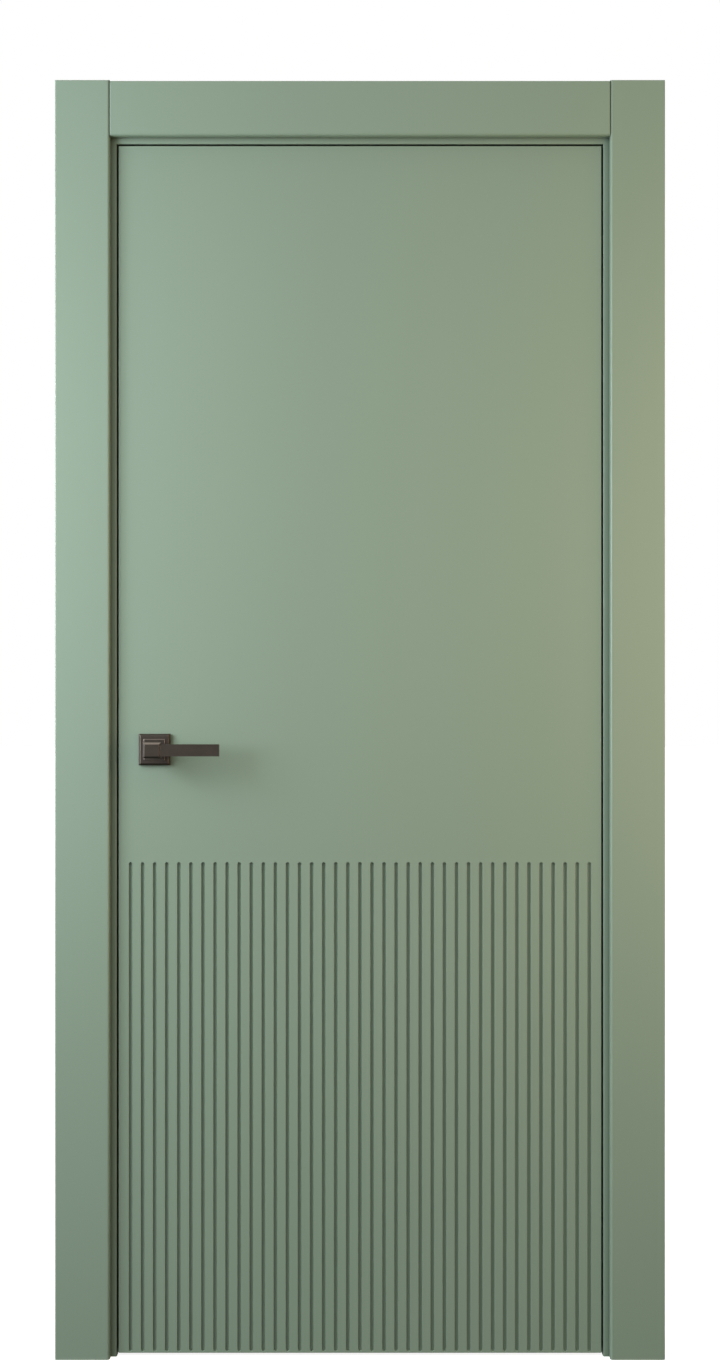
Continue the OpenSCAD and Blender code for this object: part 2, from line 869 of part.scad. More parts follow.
// Stands on the follower's nose, just clear of its slope, and ends under the case's seat
module return_spring() {
    inner = -spring_x - spring_r - spring_wire_r;
    foot = nose_r / cos(nose_drop) - inner * tan(nose_drop) + mortise_play;
    color(satin_metal) translate([spindle_x + spring_x, 0, spindle_z + foot])
        coil(spring_r, spring_wire_r, spring_turns, spring_top - foot);
}

// ---- Strike ----

module strike_mortise() {
    z = spindle_z + bolt_up;
    y = strike_hole.x / 2 + strike_wall + mortise_play;
    h = strike_hole.y / 2 + strike_wall + mortise_play;
    edge_plate(-rebate_x - strike_t, -rebate_x + past, strike_l, z, mortise_play);
    box([-rebate_x - strike_t - strike_box_d - mortise_play, -y, z - h],
        [-rebate_x - strike_t + past, y, z + h]);
}

module strike_screw_places() {
    for (side = [-1, 1])
        translate([-rebate_x, 0, spindle_z + bolt_up + side * (strike_l / 2 - 10)])
            rotate([0, 90, 0]) children();
}

module strike_plate() {
    z = spindle_z + bolt_up;
    color(satin_metal) difference() {
        edge_plate(-rebate_x - strike_t, -rebate_x, strike_l, z);
        box([-rebate_x - strike_t - past, -strike_hole.x / 2, z - strike_hole.y / 2],
            [-rebate_x + past, strike_hole.x / 2, z + strike_hole.y / 2]);
        strike_screw_places() countersunk_screw(screw_r, screw_head_r, screw_l, running_play);
    }
}

module strike_box() {
    z = spindle_z + bolt_up;
    y = strike_hole.x / 2;
    h = strike_hole.y / 2;
    back = -rebate_x - strike_t - strike_box_d;
    color(nylon) difference() {
        box([back, -y - strike_wall, z - h - strike_wall],
            [-rebate_x - strike_t, y + strike_wall, z + h + strike_wall]);
        box([back + strike_wall, -y, z - h], [-rebate_x - strike_t + past, y, z + h]);
    }
}

module strike_magnet() {
    z = spindle_z + bolt_up;
    back = -rebate_x - strike_t - strike_box_d + strike_wall;
    color(satin_metal)
        box([back, -bolt_w / 2, z - bolt_h / 2], [back + strike_magnet_t, bolt_w / 2, z + bolt_h / 2]);
}

module strike_screws() {
    color(satin_metal) strike_screw_places() countersunk_screw(screw_r, screw_head_r, screw_l);
}

// ---- Handle ----

// A place on the spindle's axis at the leaf's front face, with off running along -Y
module at_front() {
    translate([spindle_x, leaf_front, spindle_z]) children();
}

// The same on the back of the leaf
module at_back() {
    mirror([0, 1, 0]) at_front() children();
}

module rosette_bolt_spots() {
    for (side = [-1, 1]) translate([side * rosette_bolt_x, 0, 0]) children();
}

// Cylinder along -Y, from one distance off the leaf to another
module off_cylinder(r, from, to) {
    translate([0, -from, 0]) rotate([90, 0, 0]) cylinder(r = r, h = to - from);
}

module rosette_base() {
    color(nylon) difference() {
        bevelled_block(base_w, base_w, base_t, 0.5);
        off_cylinder(bush_r, -past, base_t + past);
        rosette_bolt_spots() off_cylinder(rosette_bolt_r, -past, base_t + past);
        rosette_bolt_spots() off_cylinder(rosette_bolt_head_r, base_t - 2, base_t + past);
    }
}

module rosette_cover() {
    color(dark_bronze) difference() {
        union() {
            bevelled_block(rosette_w, rosette_w, rosette_t, rosette_bevel);
            translate([0, -rosette_t, 0]) bevelled_block(raised_w, raised_w, raised_t, 0.7);
        }
        translate([0, past, 0]) bevelled_block(rosette_w - 2 * rosette_shell, rosette_w - 2 * rosette_shell,
            rosette_t - rosette_shell + past, rosette_bevel);
        off_cylinder(bush_r, 0, rosette_t + raised_t + past);
    }
}

// Nylon ring in which the lever's collar turns
module bush() {
    color(nylon) difference() {
        off_cylinder(bush_r, 0, rosette_t + raised_t - 0.3);
        off_cylinder(collar_r + running_play, -past, rosette_t + raised_t + past);
    }
}

// Collar, square neck, bevelled block and flat bar in one piece
module lever() {
    block_mid = (block_w[0] + block_w[1]) / 2;
    bar_off = lever_reach - bar_set_back;
    socket = spindle_w + 2 * running_play;
    color(dark_bronze) difference() {
        union() {
            off_cylinder(collar_r, collar_off, neck_off + past);
            box([-neck_w / 2, block_t - lever_reach - past, -neck_w / 2],
                [neck_w / 2, -neck_off, neck_w / 2]);
            translate([block_mid, block_t - lever_reach, 0])
                bevelled_block(block_w[1] - block_w[0], block_h, block_t, block_bevel);
            box([block_w[1] - block_bevel - past, -bar_off, -lever_bar_h / 2],
                [lever_l, bar_t - bar_off, lever_bar_h / 2]);
        }
        box([-socket / 2, -spindle_off, -socket / 2], [socket / 2, 0, socket / 2]);
        translate([0, -grub_off, 0]) rotate([180, 0, 0]) cylinder(r = grub_r, h = neck_w);
    }
}

// Screws through the necks from below, tight against the spindle
module grub_screw() {
    translate([0, -grub_off, -neck_w / 2 + 0.5]) cylinder(r = grub_r, h = (neck_w - spindle_w) / 2 - 0.5);
}

module spindle() {
    l = leaf_t + 2 * spindle_off;
    color(satin_metal) translate([spindle_x, 0, spindle_z]) cube([spindle_w, l, spindle_w], center = true);
}

module rosette_bolts() {
    l = leaf_t + 2 * base_t - 4;
    color(satin_metal) rosette_bolt_spots() translate([spindle_x, 0, spindle_z]) rotate([90, 0, 0]) {
        cylinder(r = rosette_bolt_r, h = l, center = true);
        for (side = [-1, 1]) translate([0, 0, side * (l / 2 + 0.75)])
            cylinder(r = rosette_bolt_head_r - 0.2, h = 1.5, center = true);
    }
}

module front_rosette_base() { at_front() rosette_base(); }
module front_rosette_cover() { at_front() rosette_cover(); }
module front_bush() { at_front() bush(); }
module front_lever() { at_front() lever(); }
module back_rosette_base() { at_back() rosette_base(); }
module back_rosette_cover() { at_back() rosette_cover(); }
module back_bush() { at_back() bush(); }
module back_lever() { at_back() lever(); }

module grub_screws() {
    color(satin_metal) {
        at_front() grub_screw();
        at_back() grub_screw();
    }
}

front_skin();
back_skin();
lock_stile();
hinge_stile();
top_rail();
bottom_rail();
core_panel();
hinge_1_leaf_housing();
hinge_2_leaf_housing();
hinge_3_leaf_housing();
leaf_pivot_pins();
leaf_hinge_screws();
lock_case();
lock_cover();
lock_forend();
forend_screws();
return_spring();
front_rosette_base();
front_rosette_cover();
front_bush();
back_rosette_base();
back_rosette_cover();
back_bush();
rosette_bolts();
lock_post();
hinge_post();
head_jamb();
corner_screws();
lock_side_seal();
hinge_side_seal();
head_seal();
front_casing_left();
front_casing_right();
front_casing_head();
back_casing_left();
back_casing_right();
back_casing_head();
hinge_1_frame_housing();
hinge_2_frame_housing();
hinge_3_frame_housing();
frame_pivot_pins();
frame_hinge_screws();
strike_plate();
strike_box();
strike_magnet();
strike_screws();
hinge_1_frame_arm();
hinge_2_frame_arm();
hinge_3_frame_arm();
center_pins();
hinge_1_leaf_arm();
hinge_2_leaf_arm();
hinge_3_leaf_arm();
front_lever();
back_lever();
spindle();
follower();
grub_screws();
magnetic_bolt();
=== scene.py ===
"""Interior door in its frame: satin green enamel, a fluted lower half and bronze lever handles.

Sizes are in millimetres unless a name says otherwise. +X runs towards the hinges, +Y through the
wall to the back and +Z up. The origin is the middle of the doorway at floor level.
"""

import logging
import math
from collections.abc import Callable, Iterable, Sequence
from dataclasses import dataclass, field
from enum import Enum, IntEnum

import bmesh
import bpy
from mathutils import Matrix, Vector


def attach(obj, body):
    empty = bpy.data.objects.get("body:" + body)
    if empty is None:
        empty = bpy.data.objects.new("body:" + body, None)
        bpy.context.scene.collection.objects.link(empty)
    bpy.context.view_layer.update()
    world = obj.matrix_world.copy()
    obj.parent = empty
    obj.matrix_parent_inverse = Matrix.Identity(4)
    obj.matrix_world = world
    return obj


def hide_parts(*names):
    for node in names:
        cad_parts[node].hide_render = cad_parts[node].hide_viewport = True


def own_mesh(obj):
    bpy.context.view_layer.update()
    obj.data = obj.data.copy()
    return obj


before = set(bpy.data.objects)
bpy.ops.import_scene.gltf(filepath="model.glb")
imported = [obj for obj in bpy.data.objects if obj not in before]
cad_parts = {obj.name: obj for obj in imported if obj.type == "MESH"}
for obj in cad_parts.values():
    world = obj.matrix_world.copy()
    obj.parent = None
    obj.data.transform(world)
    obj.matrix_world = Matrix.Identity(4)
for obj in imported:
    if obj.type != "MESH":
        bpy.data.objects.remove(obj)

log = logging.getLogger("door")

MM = 0.001

WELD = 0.004  # how far apart two points of one shell may be and still be joined
SEAM = 0.01  # the same for two meshes that are sewn together
OVERLAP = 1.0  # how far a cutter, or a part that is joined on, runs past the face it meets

FACTOR, FIRST, SECOND, MIXED = 0, 6, 7, 2  # places of a Mix node's sockets when it mixes colours

Point = tuple[float, float, float]
Outline = list[tuple[float, float]]
Colour = tuple[float, float, float, float]
Spot = tuple[Point, Point]  # where a screw's head sits and the way that it faces
Inputs = dict[str | int, object]
Piece = bpy.types.Object
Tree = bpy.types.NodeTree
Node = bpy.types.Node
Socket = bpy.types.NodeSocket


class Body(Enum):
    """The parts of the door that move as one."""

    FRAME = "frame"
    LEAF = "leaf"
    HANDLE = "handle"


class Slot(Enum):
    """The finishes that a scene may repaint."""

    ENAMEL = "enamel"
    BRONZE = "dark_bronze"
    STEEL = "satin_metal"


class Face(Enum):
    """The two faces of the door, with the direction in which each one looks along Y."""

    FRONT = -1
    BACK = 1

    @property
    def word(self) -> str:
        """The face's name as the pieces spell it."""
        return self.name.lower()


class Way(Enum):
    """What a shell does to a piece."""

    CUT = "DIFFERENCE"
    JOIN = "UNION"


class Axis(IntEnum):
    """The place of a coordinate in a point."""

    X = 0
    Y = 1
    Z = 2


class Kind(IntEnum):
    """The place of a face's finish in its piece's list."""

    PLAIN = 0
    # faces in the lighter bronze: a painted highlight on edges and bevels
    RUBBED = 1


# ---- Finishes ----


def srgb(colour: str) -> Colour:
    """Turns a hex colour into the linear colour that a socket takes.

    Args:
        colour: Six hex digits after a hash.

    Returns:
        Linear red, green and blue, and an alpha of one.
    """
    parts = (int(colour[i : i + 2], 16) / 255 for i in (1, 3, 5))
    return (*(c / 12.92 if c <= 0.04045 else ((c + 0.055) / 1.055) ** 2.4 for c in parts), 1.0)


def per_metre(size: float) -> float:
    """How often a pattern of this size in millimetres repeats in a metre."""
    return 1 / (size * MM)


def add_node(tree: Tree, kind: str, inputs: Inputs | None = None, **settings: object) -> Node:
    """Adds a node with its settings, and sets or links its inputs.

    Args:
        tree: The tree that gets the node.
        kind: The node's type name.
        inputs: Value or source socket for each input, by its name or its place.
        **settings: Properties of the node itself.

    Returns:
        The new node.
    """
    node = tree.nodes.new(kind)
    for name, value in settings.items():
        setattr(node, name, value)
    for name, value in (inputs or {}).items():
        socket = node.inputs[name]
        if isinstance(value, Socket):
            tree.links.new(value, socket)
        else:
            socket.default_value = value
    return node


@dataclass(frozen=True)
class Coat:
    """A material's nodes while its finish is put together."""

    tree: Tree
    place: Socket  # where a point is on the object, in metres
    shader: Node

    def add(self, kind: str, inputs: Inputs, **settings: object) -> Node:
        """Adds one of the shader's nodes, named without its prefix."""
        return add_node(self.tree, f"ShaderNode{kind}", inputs, **settings)

    def feed(self, name: str, pattern: Socket) -> None:
        """Links a pattern to one of the shader's inputs."""
        self.tree.links.new(pattern, self.shader.inputs[name])

    def clouds(self, size: float, detail: float) -> Socket:
        """A soft cloudy pattern of this size, whose outlines break up as often as detail says."""
        inputs = {"Vector": self.place, "Scale": per_metre(size), "Detail": detail}
        return self.add("TexNoise", inputs).outputs[0]

    def blend(self, share: Socket, first: Socket | str, second: Socket | str) -> Socket:
        """Mixes two colours.

        Args:
            share: How much of the second one shows.
            first: A colour as hex digits, or a pattern.
            second: The same.

        Returns:
            The mixed colour.
        """
        ends = {FIRST: first, SECOND: second}
        ends = {end: srgb(c) if isinstance(c, str) else c for end, c in ends.items()}
        return self.add("Mix", {FACTOR: share, **ends}, data_type="RGBA").outputs[MIXED]

    def raise_by(self, height: Socket, depth: float, strength: float) -> None:
        """Raises the surface by a pattern, of whose depth the strength is the share that shows."""
        inputs = {"Height": height, "Strength": strength, "Distance": depth * MM}
        self.feed("Normal", self.add("Bump", inputs).outputs[0])

    def dull_by(self, pattern: Socket, low: float, high: float) -> None:
        """Runs the roughness from low to high with a pattern."""
        inputs = {"Value": pattern, "To Min": low, "To Max": high}
        self.feed("Roughness", self.add("MapRange", inputs).outputs[0])


@dataclass(frozen=True)
class Finish:
    """A surface and how it was made. Each kind of finish dresses the shader in its own way."""

    name: str
    colour: str
    roughness: float

    def material(self) -> bpy.types.Material:
        """Builds the finish the first time it is asked for.

        Returns:
            The material, the same one every time.
        """
        material = bpy.data.materials.get(self.name)
        if material is None:
            material = bpy.data.materials.new(self.name)
            material.use_nodes = True
            tree = material.node_tree
            tree.nodes.clear()
            place = add_node(tree, "ShaderNodeTexCoord").outputs["Object"]
            even = {"Base Color": srgb(self.colour), "Roughness": self.roughness}
            shader = add_node(tree, "ShaderNodeBsdfPrincipled", even)
            add_node(tree, "ShaderNodeOutputMaterial", {"Surface": shader.outputs["BSDF"]})
            self.dress(Coat(tree, place, shader))
        return material

    def dress(self, coat: Coat) -> None:
        """Adds the finish's own pattern to its coat."""
        raise NotImplementedError


@dataclass(frozen=True)
class SatinEnamel(Finish):
    """Two-pack enamel, sprayed on sanded fibreboard and left satin.

    It scatters light softly, with a wide faint sheen. The film settles a little unevenly, so its
    tone drifts over hand widths and its sheen over finger widths. Shade is painted into corners
    and joints: the closer other surfaces are round a point, the darker its colour.
    """

    drift_colour: str = "#8da28b"
    drift: float = 420.0
    mist: float = 18.0
    mist_swing: float = 0.04  # how much duller and glossier the sheen gets
    peel: float = 3.5  # a real orange peel is about 1.5 mm: drawn coarser to show
    peel_depth: float = 0.02
    corner: float = 8.0  # how far from a corner the painted shade reaches
    # how dark the painted shade in corners and joints gets
    corner_depth: float = 0.85

    def dress(self, coat: Coat) -> None:
        """Tone that drifts, painted shade in corners, sheen that varies and a faint orange peel.

        Args:
            coat: The material's nodes.
        """
        tone = coat.blend(coat.clouds(self.drift, detail=3.0), self.colour, self.drift_colour)
        # painted shade: ambient occlusion darkens the colour in corners, joints and grooves
        open_air = coat.add("AmbientOcclusion", {"Distance": self.corner * MM}, samples=6)
        shade = {0: open_air.outputs["AO"], 1: self.corner_depth}
        lit_share = coat.add("Math", shade, operation="POWER").outputs[0]
        both = {FACTOR: 1.0, FIRST: tone, SECOND: lit_share}
        shaded_tone = coat.add("Mix", both, data_type="RGBA", blend_type="MULTIPLY")
        coat.feed("Base Color", shaded_tone.outputs[MIXED])
        mist = coat.clouds(self.mist, detail=2.0)
        coat.dull_by(mist, self.roughness - self.mist_swing, self.roughness + self.mist_swing)
        coat.raise_by(coat.clouds(self.peel, detail=1.0), self.peel_depth, strength=0.5)


@dataclass(frozen=True)
class BrushedMetal(Finish):
    """Metal drawn along a fine abrasive belt, which leaves short parallel scratches.

    The scratches stretch a highlight across their run and break it into fine threads.
    """

    stain_colour: str
    stain: float = 7.0
    grain: Point = (30.0, 0.7, 0.7)  # length, width and height of a scratch
    swing: float = 0.1  # how much duller and glossier the scratches make it
    scratch_depth: float = 0.006

    def dress(self, coat: Coat) -> None:
        """Scratches in the sheen and the relief, and a faint mottling of the tone.

        Args:
            coat: The material's nodes.
        """
        coat.shader.inputs["Metallic"].default_value = 1.0
        stain = coat.clouds(self.stain, detail=4.0)
        coat.feed("Base Color", coat.blend(stain, self.colour, self.stain_colour))
        run = {"Vector": coat.place, "Scale": tuple(per_metre(size) for size in self.grain)}
        along = coat.add("Mapping", run).outputs[0]
        noise = {"Vector": along, "Scale": 1.0, "Detail": 4.0, "Roughness": 0.6}
        scratch = coat.add("TexNoise", noise).outputs[0]
        coat.dull_by(scratch, self.roughness - self.swing, self.roughness + self.swing)
        coat.raise_by(scratch, self.scratch_depth, strength=0.6)


@dataclass(frozen=True)
class CastMetal(Finish):
    """Die-cast zinc, tumbled and plated matt: an even, slightly pebbled grey sheen."""

    pebble: float = 1.2  # tumbling leaves dimples of about 0.4 mm: drawn coarser to show
    pebble_depth: float = 0.015
    swing: float = 0.06  # how much duller a dimple's middle is, and glossier its edge

    def dress(self, coat: Coat) -> None:
        """Fine dimples, dullest in their middles.

        Args:
            coat: The material's nodes.
        """
        coat.shader.inputs["Metallic"].default_value = 1.0
        inputs = {"Vector": coat.place, "Scale": per_metre(self.pebble)}
        dimples = coat.add("TexVoronoi", inputs).outputs[0]
        coat.dull_by(dimples, self.roughness + self.swing, self.roughness - self.swing)
        coat.raise_by(dimples, self.pebble_depth, strength=0.5)


@dataclass(frozen=True)
class MouldedPlastic(Finish):
    """Nylon from a spark-eroded mould: dull, with a grain like fine sand."""

    grit: float = 0.8  # a spark-eroded grain is about 0.3 mm: drawn coarser to show
    grit_depth: float = 0.02

    def dress(self, coat: Coat) -> None:
        """A sandy relief."""
        coat.raise_by(coat.clouds(self.grit, detail=2.0), self.grit_depth, strength=0.6)


@dataclass(frozen=True)
class ExtrudedRubber(Finish):
    """Thermoplastic rubber drawn through a die: matt, with a powdery bloom."""

    bloom_colour: str = "#4a4d45"
    bloom: float = 22.0

    def dress(self, coat: Coat) -> None:
        """The bloom, in patches."""
        patches = coat.clouds(self.bloom, detail=5.0)
        coat.feed("Base Color", coat.blend(patches, self.colour, self.bloom_colour))


@dataclass(frozen=True)
class PlanedSoftwood(Finish):
    """Planed pine with its grain upright, enamelled with the skins where it reaches the edges.

    The late wood stands in darker lines, a few millimetres apart, that wander along the grain.
    """

    late_colour: str = "#a97f4c"
    late: tuple[float, float] = (0.42, 0.6)  # where in a ring the late wood starts and is full
    ring: Point = (5.0, 5.0, 260.0)
    enamel_colour: str = "#8fa18b"
    enamel_from: float = 399.6  # distance from the door's middle at which the enamel starts

    def dress(self, coat: Coat) -> None:
        """Wandering rings, with enamel over the outer edge.

        Args:
            coat: The material's nodes.
        """
        run = {"Vector": coat.place, "Scale": tuple(per_metre(size) for size in self.ring)}
        along = coat.add("Mapping", run).outputs[0]
        noise = {"Vector": along, "Scale": 1.0, "Detail": 3.0, "Distortion": 0.6}
        rings = coat.add("TexNoise", noise).outputs[0]
        ends = {"Value": rings, "From Min": self.late[0], "From Max": self.late[1]}
        late = coat.add("MapRange", ends).outputs[0]
        wood = coat.blend(late, self.colour, self.late_colour)
        across = coat.add("SeparateXYZ", {0: coat.place}).outputs["X"]
        reach = coat.add("Math", {0: across}, operation="ABSOLUTE").outputs[0]
        edge = {0: reach, 1: self.enamel_from * MM}
        painted = coat.add("Math", edge, operation="GREATER_THAN").outputs[0]
        coat.feed("Base Color", coat.blend(painted, wood, self.enamel_colour))


@dataclass(frozen=True)
class PressedChips(Finish):
    """Chipboard: resin-bonded flakes of wood, each with its own tone and tilt."""

    dark_colour: str = "#8a6f45"
    flake: float = 4.0
    flake_depth: float = 0.2

    def dress(self, coat: Coat) -> None:
        """Flakes in mixed tones with hollows between them.

        Args:
            coat: The material's nodes.
        """
        flakes = coat.add("TexVoronoi", {"Vector": coat.place, "Scale": per_metre(self.flake)})
        grey = coat.add("SeparateColor", {0: flakes.outputs["Color"]}).outputs[0]
        coat.feed("Base Color", coat.blend(grey, self.colour, self.dark_colour))
        coat.raise_by(flakes.outputs["Distance"], self.flake_depth, strength=0.6)


# the frame's enamel gets strong painted shade in corners and joints, the leaf's only a little
ENAMEL = SatinEnamel("satin_enamel_on_the_frame", "#8fa48f", 0.42)
LEAF_ENAMEL = SatinEnamel("satin_enamel_on_the_leaf", "#8fa48f", 0.42, corner_depth=0.15)
BRONZE = BrushedMetal("brushed_dark_bronze", "#5b544c", 0.42, "#504943", 9.0, (26.0, 0.8, 0.8))
# a lighter bronze that paints highlights onto edges and bevels
HIGHLIGHT_BRONZE = BrushedMetal(
    "bronze_rubbed_bright_on_edges", "#a89a90", 0.36, "#94877d", 3.0, (12.0, 0.8, 0.8)
)
BRUSHED_STEEL = BrushedMetal(
    "brushed_nickelled_steel", "#c3c2bc", 0.32, "#b2b1ab", grain=(0.6, 0.6, 24.0)
)
SCREW_STEEL = BrushedMetal(
    "zinc_plated_screw_steel", "#c9c8bf", 0.28, "#a9a894", 2.5, (1.0, 1.0, 1.0)
)
ROLLED_STEEL = BrushedMetal(
    "cold_rolled_zinc_plated_sheet", "#aeb0ae", 0.38, "#9a9c98", 14.0, (2.0, 2.0, 40.0)
)
CAST_ZINC = CastMetal("matt_plated_zinc_casting", "#a9a9a4", 0.42)
NYLON = MouldedPlastic("moulded_black_nylon", "#2b2b2a", 0.48)
RUBBER = ExtrudedRubber("extruded_seal_rubber", "#2f322b", 0.72)
PINE = PlanedSoftwood("planed_pine", "#d8bd8f", 0.55)
CHIPS = PressedChips("pressed_chipboard", "#b99f6e", 0.8)


# ---- Making pieces ----


@dataclass(frozen=True)
class Corner:
    """One corner of an outline and the radius that it is rounded to."""

    a: float
    b: float
    radius: float = 0.0


def corner_arc(corners: Sequence[Corner], i: int, step: float = 9.0) -> Outline:
    """Rounds one corner of a closed outline.

    Args:
        corners: The outline's corners in order.
        i: Place of the corner.
        step: Largest angle in degrees between two points of the arc.

    Returns:
        The arc's points in order, or the corner itself where it has no radius.
    """
    corner = corners[i]
    if corner.radius == 0:
        return [(corner.a, corner.b)]
    here = Vector((corner.a, corner.b))
    last, following = corners[i - 1], corners[(i + 1) % len(corners)]
    back = (Vector((last.a, last.b)) - here).normalized()
    onward = (Vector((following.a, following.b)) - here).normalized()
    half = back.angle(onward) / 2
    middle = here + (back + onward).normalized() * corner.radius / math.sin(half)
    start = here + back * corner.radius / math.tan(half) - middle
    end = here + onward * corner.radius / math.tan(half) - middle
    first = math.atan2(start.y, start.x)
    turn = (math.atan2(end.y, end.x) - first + math.pi) % math.tau - math.pi
    steps = max(2, math.ceil(abs(turn) / math.radians(step)))
    angles = [first + turn * k / steps for k in range(steps + 1)]
    r = corner.radius
    return [(middle.x + r * math.cos(t), middle.y + r * math.sin(t)) for t in angles]


def rounded_outline(corners: Sequence[Corner]) -> Outline:
    """Walks round a closed outline, with an arc at each corner that has a radius."""
    return [point for i in range(len(corners)) for point in corner_arc(corners, i)]


def quarter_turn(steps: int) -> list[float]:
    """The angles of a quarter turn in even steps."""
    return [math.tau / 4 * k / steps for k in range(steps + 1)]


def round_over(radius: float, steps: int) -> Outline:
    """A rounded edge, from the face to the side, as distance in from the side and depth."""
    return [(radius * (1 - math.sin(a)), radius * (1 - math.cos(a))) for a in quarter_turn(steps)]


def rectangle(low: tuple[float, float], high: tuple[float, float]) -> Outline:
    """The four corners of a rectangle, from its lowest one."""
    return [low, (high[0], low[1]), high, (low[0], high[1])]


def rounded_square(half: float, radius: float, arc_steps: int = 8) -> Outline:
    """A square with round corners; with a radius of half its width it is a circle.

    Args:
        half: Half of the square's width.
        radius: Radius of its corners.
        arc_steps: Steps in each corner's arc.

    Returns:
        The outline's points, the same number for any size.
    """
    middle = Vector((half - radius, half - radius))
    turns = quarter_turn(arc_steps)
    corner = [middle + radius * Vector((math.cos(t), math.sin(t))) for t in turns]
    outline: Outline = []
    for _ in range(4):
        outline += [(spot.x, spot.y) for spot in corner]
        corner = [Vector((-spot.y, spot.x)) for spot in corner]
    return outline


class Shell:
    """Faces gathered in millimetres, which become one mesh."""

    def __init__(self) -> None:
        """Starts with nothing."""
        self.points: list[Point] = []
        self.faces: list[tuple[int, ...]] = []
        self.kinds: list[int] = []

    def ring(self, points: Iterable[Point]) -> list[int]:
        """Adds points.

        Args:
            points: The points in order.

        Returns:
            Their places in the shell.
        """
        first = len(self.points)
        self.points.extend(points)
        return list(range(first, len(self.points)))

    def face(self, corners: Iterable[int], kind: int = Kind.PLAIN) -> None:
        """Adds one face of a kind."""
        self.faces.append(tuple(corners))
        self.kinds.append(kind)

    def wall(self, low: Sequence[int], high: Sequence[int], kind: int = Kind.PLAIN) -> None:
        """Joins two rings of the same length with a band of faces.

        Args:
            low: One ring.
            high: The other ring.
            kind: The band's kind.
        """
        for i in range(len(low)):
            j = (i + 1) % len(low)
            self.face((low[i], low[j], high[j], high[i]), kind)

    def cup(self, rings: Sequence[Sequence[Point]]) -> list[int]:
        """Joins rings in order and closes the last one.

        Args:
            rings: Rings of the same length.

        Returns:
            The first ring's places. It stays open.
        """
        made = [self.ring(points) for points in rings]
        for low, high in zip(made, made[1:]):
            self.wall(low, high)
        self.face(made[-1])
        return made[0]

    def loft(
        self,
        rings: Sequence[Sequence[Point]],
        kinds: Sequence[int] | None = None,
        closed: bool = False,
    ) -> "Shell":
        """Joins rings in order and closes the two ends, or the last ring to the first.

        Args:
            rings: Rings of the same length.
            kinds: Kind of the band after each ring.
            closed: Whether the last ring joins the first.

        Returns:
            The shell itself.
        """
        made = [self.ring(points) for points in rings]
        pairs = list(zip(made, made[1:] + made[:1]))
        for i, (low, high) in enumerate(pairs if closed else pairs[:-1]):
            self.wall(low, high, kinds[i] if kinds else Kind.PLAIN)
        if not closed:
            self.face(reversed(made[0]))
            self.face(made[-1])
        return self

    def prism(self, outline: Outline, axis: Axis, near: float, far: float) -> "Shell":
        """Draws an outline out along an axis and returns the shell."""
        ends = (near, far)
        return self.loft([[(*p[:axis], end, *p[axis:]) for p in outline] for end in ends])

    def block(self, low: Point, high: Point) -> "Shell":
        """Adds a closed block from its lowest corner to its highest and returns the shell."""
        return self.prism(rectangle(low[:2], high[:2]), Axis.Z, low[2], high[2])

    def placed(self, place: Callable[[Point], Point]) -> "Shell":
        """Moves every point and returns the shell."""
        self.points = [place(point) for point in self.points]
        return self


def in_metres(points: Iterable[Point]) -> list[Point]:
    """Turns points in millimetres to metres."""
    return [tuple(c * MM for c in point) for point in points]


def in_scene(name: str, data: bpy.types.ID) -> Piece:
    """Puts data into the scene as an object.

    Args:
        name: The object's name.
        data: Its mesh, lamp or camera.

    Returns:
        The new object, at the origin.
    """
    item = bpy.data.objects.new(name, data)
    bpy.context.scene.collection.objects.link(item)
    return item


def weld(target: bpy.types.Mesh, meshes: Sequence[bpy.types.Mesh], gap: float = WELD) -> None:
    """Joins meshes where their points meet, and turns the result to face outwards.

    Args:
        target: The mesh that becomes the result.
        meshes: What is joined.
        gap: How far apart two points may be and still meet.
    """
    build = bmesh.new()
    for mesh in meshes:
        build.from_mesh(mesh)
    bmesh.ops.remove_doubles(build, verts=build.verts, dist=gap * MM)
    bmesh.ops.recalc_face_normals(build, faces=build.faces)
    build.to_mesh(target)
    build.free()


def new_piece(name: str, shell: Shell, finishes: Sequence[Finish]) -> Piece:
    """Makes an object of a shell, welded and facing outwards.

    Args:
        name: The object's name.
        shell: Its faces.
        finishes: Its finishes, in the order of the faces' kinds.

    Returns:
        The new object, at the origin.
    """
    mesh = bpy.data.meshes.new(name)
    mesh.from_pydata(in_metres(shell.points), [], shell.faces)
    mesh.polygons.foreach_set("material_index", shell.kinds)
    for finish in finishes:
        mesh.materials.append(finish.material())
    weld(mesh, [mesh])
    return in_scene(name, mesh)


def baked(piece: Piece) -> Piece:
    """Turns what a piece's modifiers make into its plain mesh.

    Args:
        piece: The object with its modifiers.

    Returns:
        The same object without them.
    """
    bpy.context.view_layer.update()
    depsgraph = bpy.context.evaluated_depsgraph_get()
    mesh = bpy.data.meshes.new_from_object(
        piece.evaluated_get(depsgraph), preserve_all_data_layers=True, depsgraph=depsgraph
    )
    old = piece.data
    piece.modifiers.clear()
    piece.data = mesh
    mesh.name = piece.name
    bpy.data.meshes.remove(old)
    return piece


def combined(piece: Piece, others: Sequence[Shell], way: Way) -> Piece:
    """Cuts shells out of a piece, or joins them to it.

    Args:
        piece: The object to change.
        others: Closed shells, each used in its turn.
        way: What they do to it.

    Returns:
        The same object.
    """
    tools = [new_piece(f"{piece.name}_tool", shell, ()) for shell in others]
    for tool in tools:
        modifier = piece.modifiers.new("combined", "BOOLEAN")
        modifier.operation = way.value
        modifier.solver = "EXACT"
        modifier.object = tool
    baked(piece)
    for tool in tools:
        mesh = tool.data
        bpy.data.objects.remove(tool)
        bpy.data.meshes.remove(mesh)
    return piece


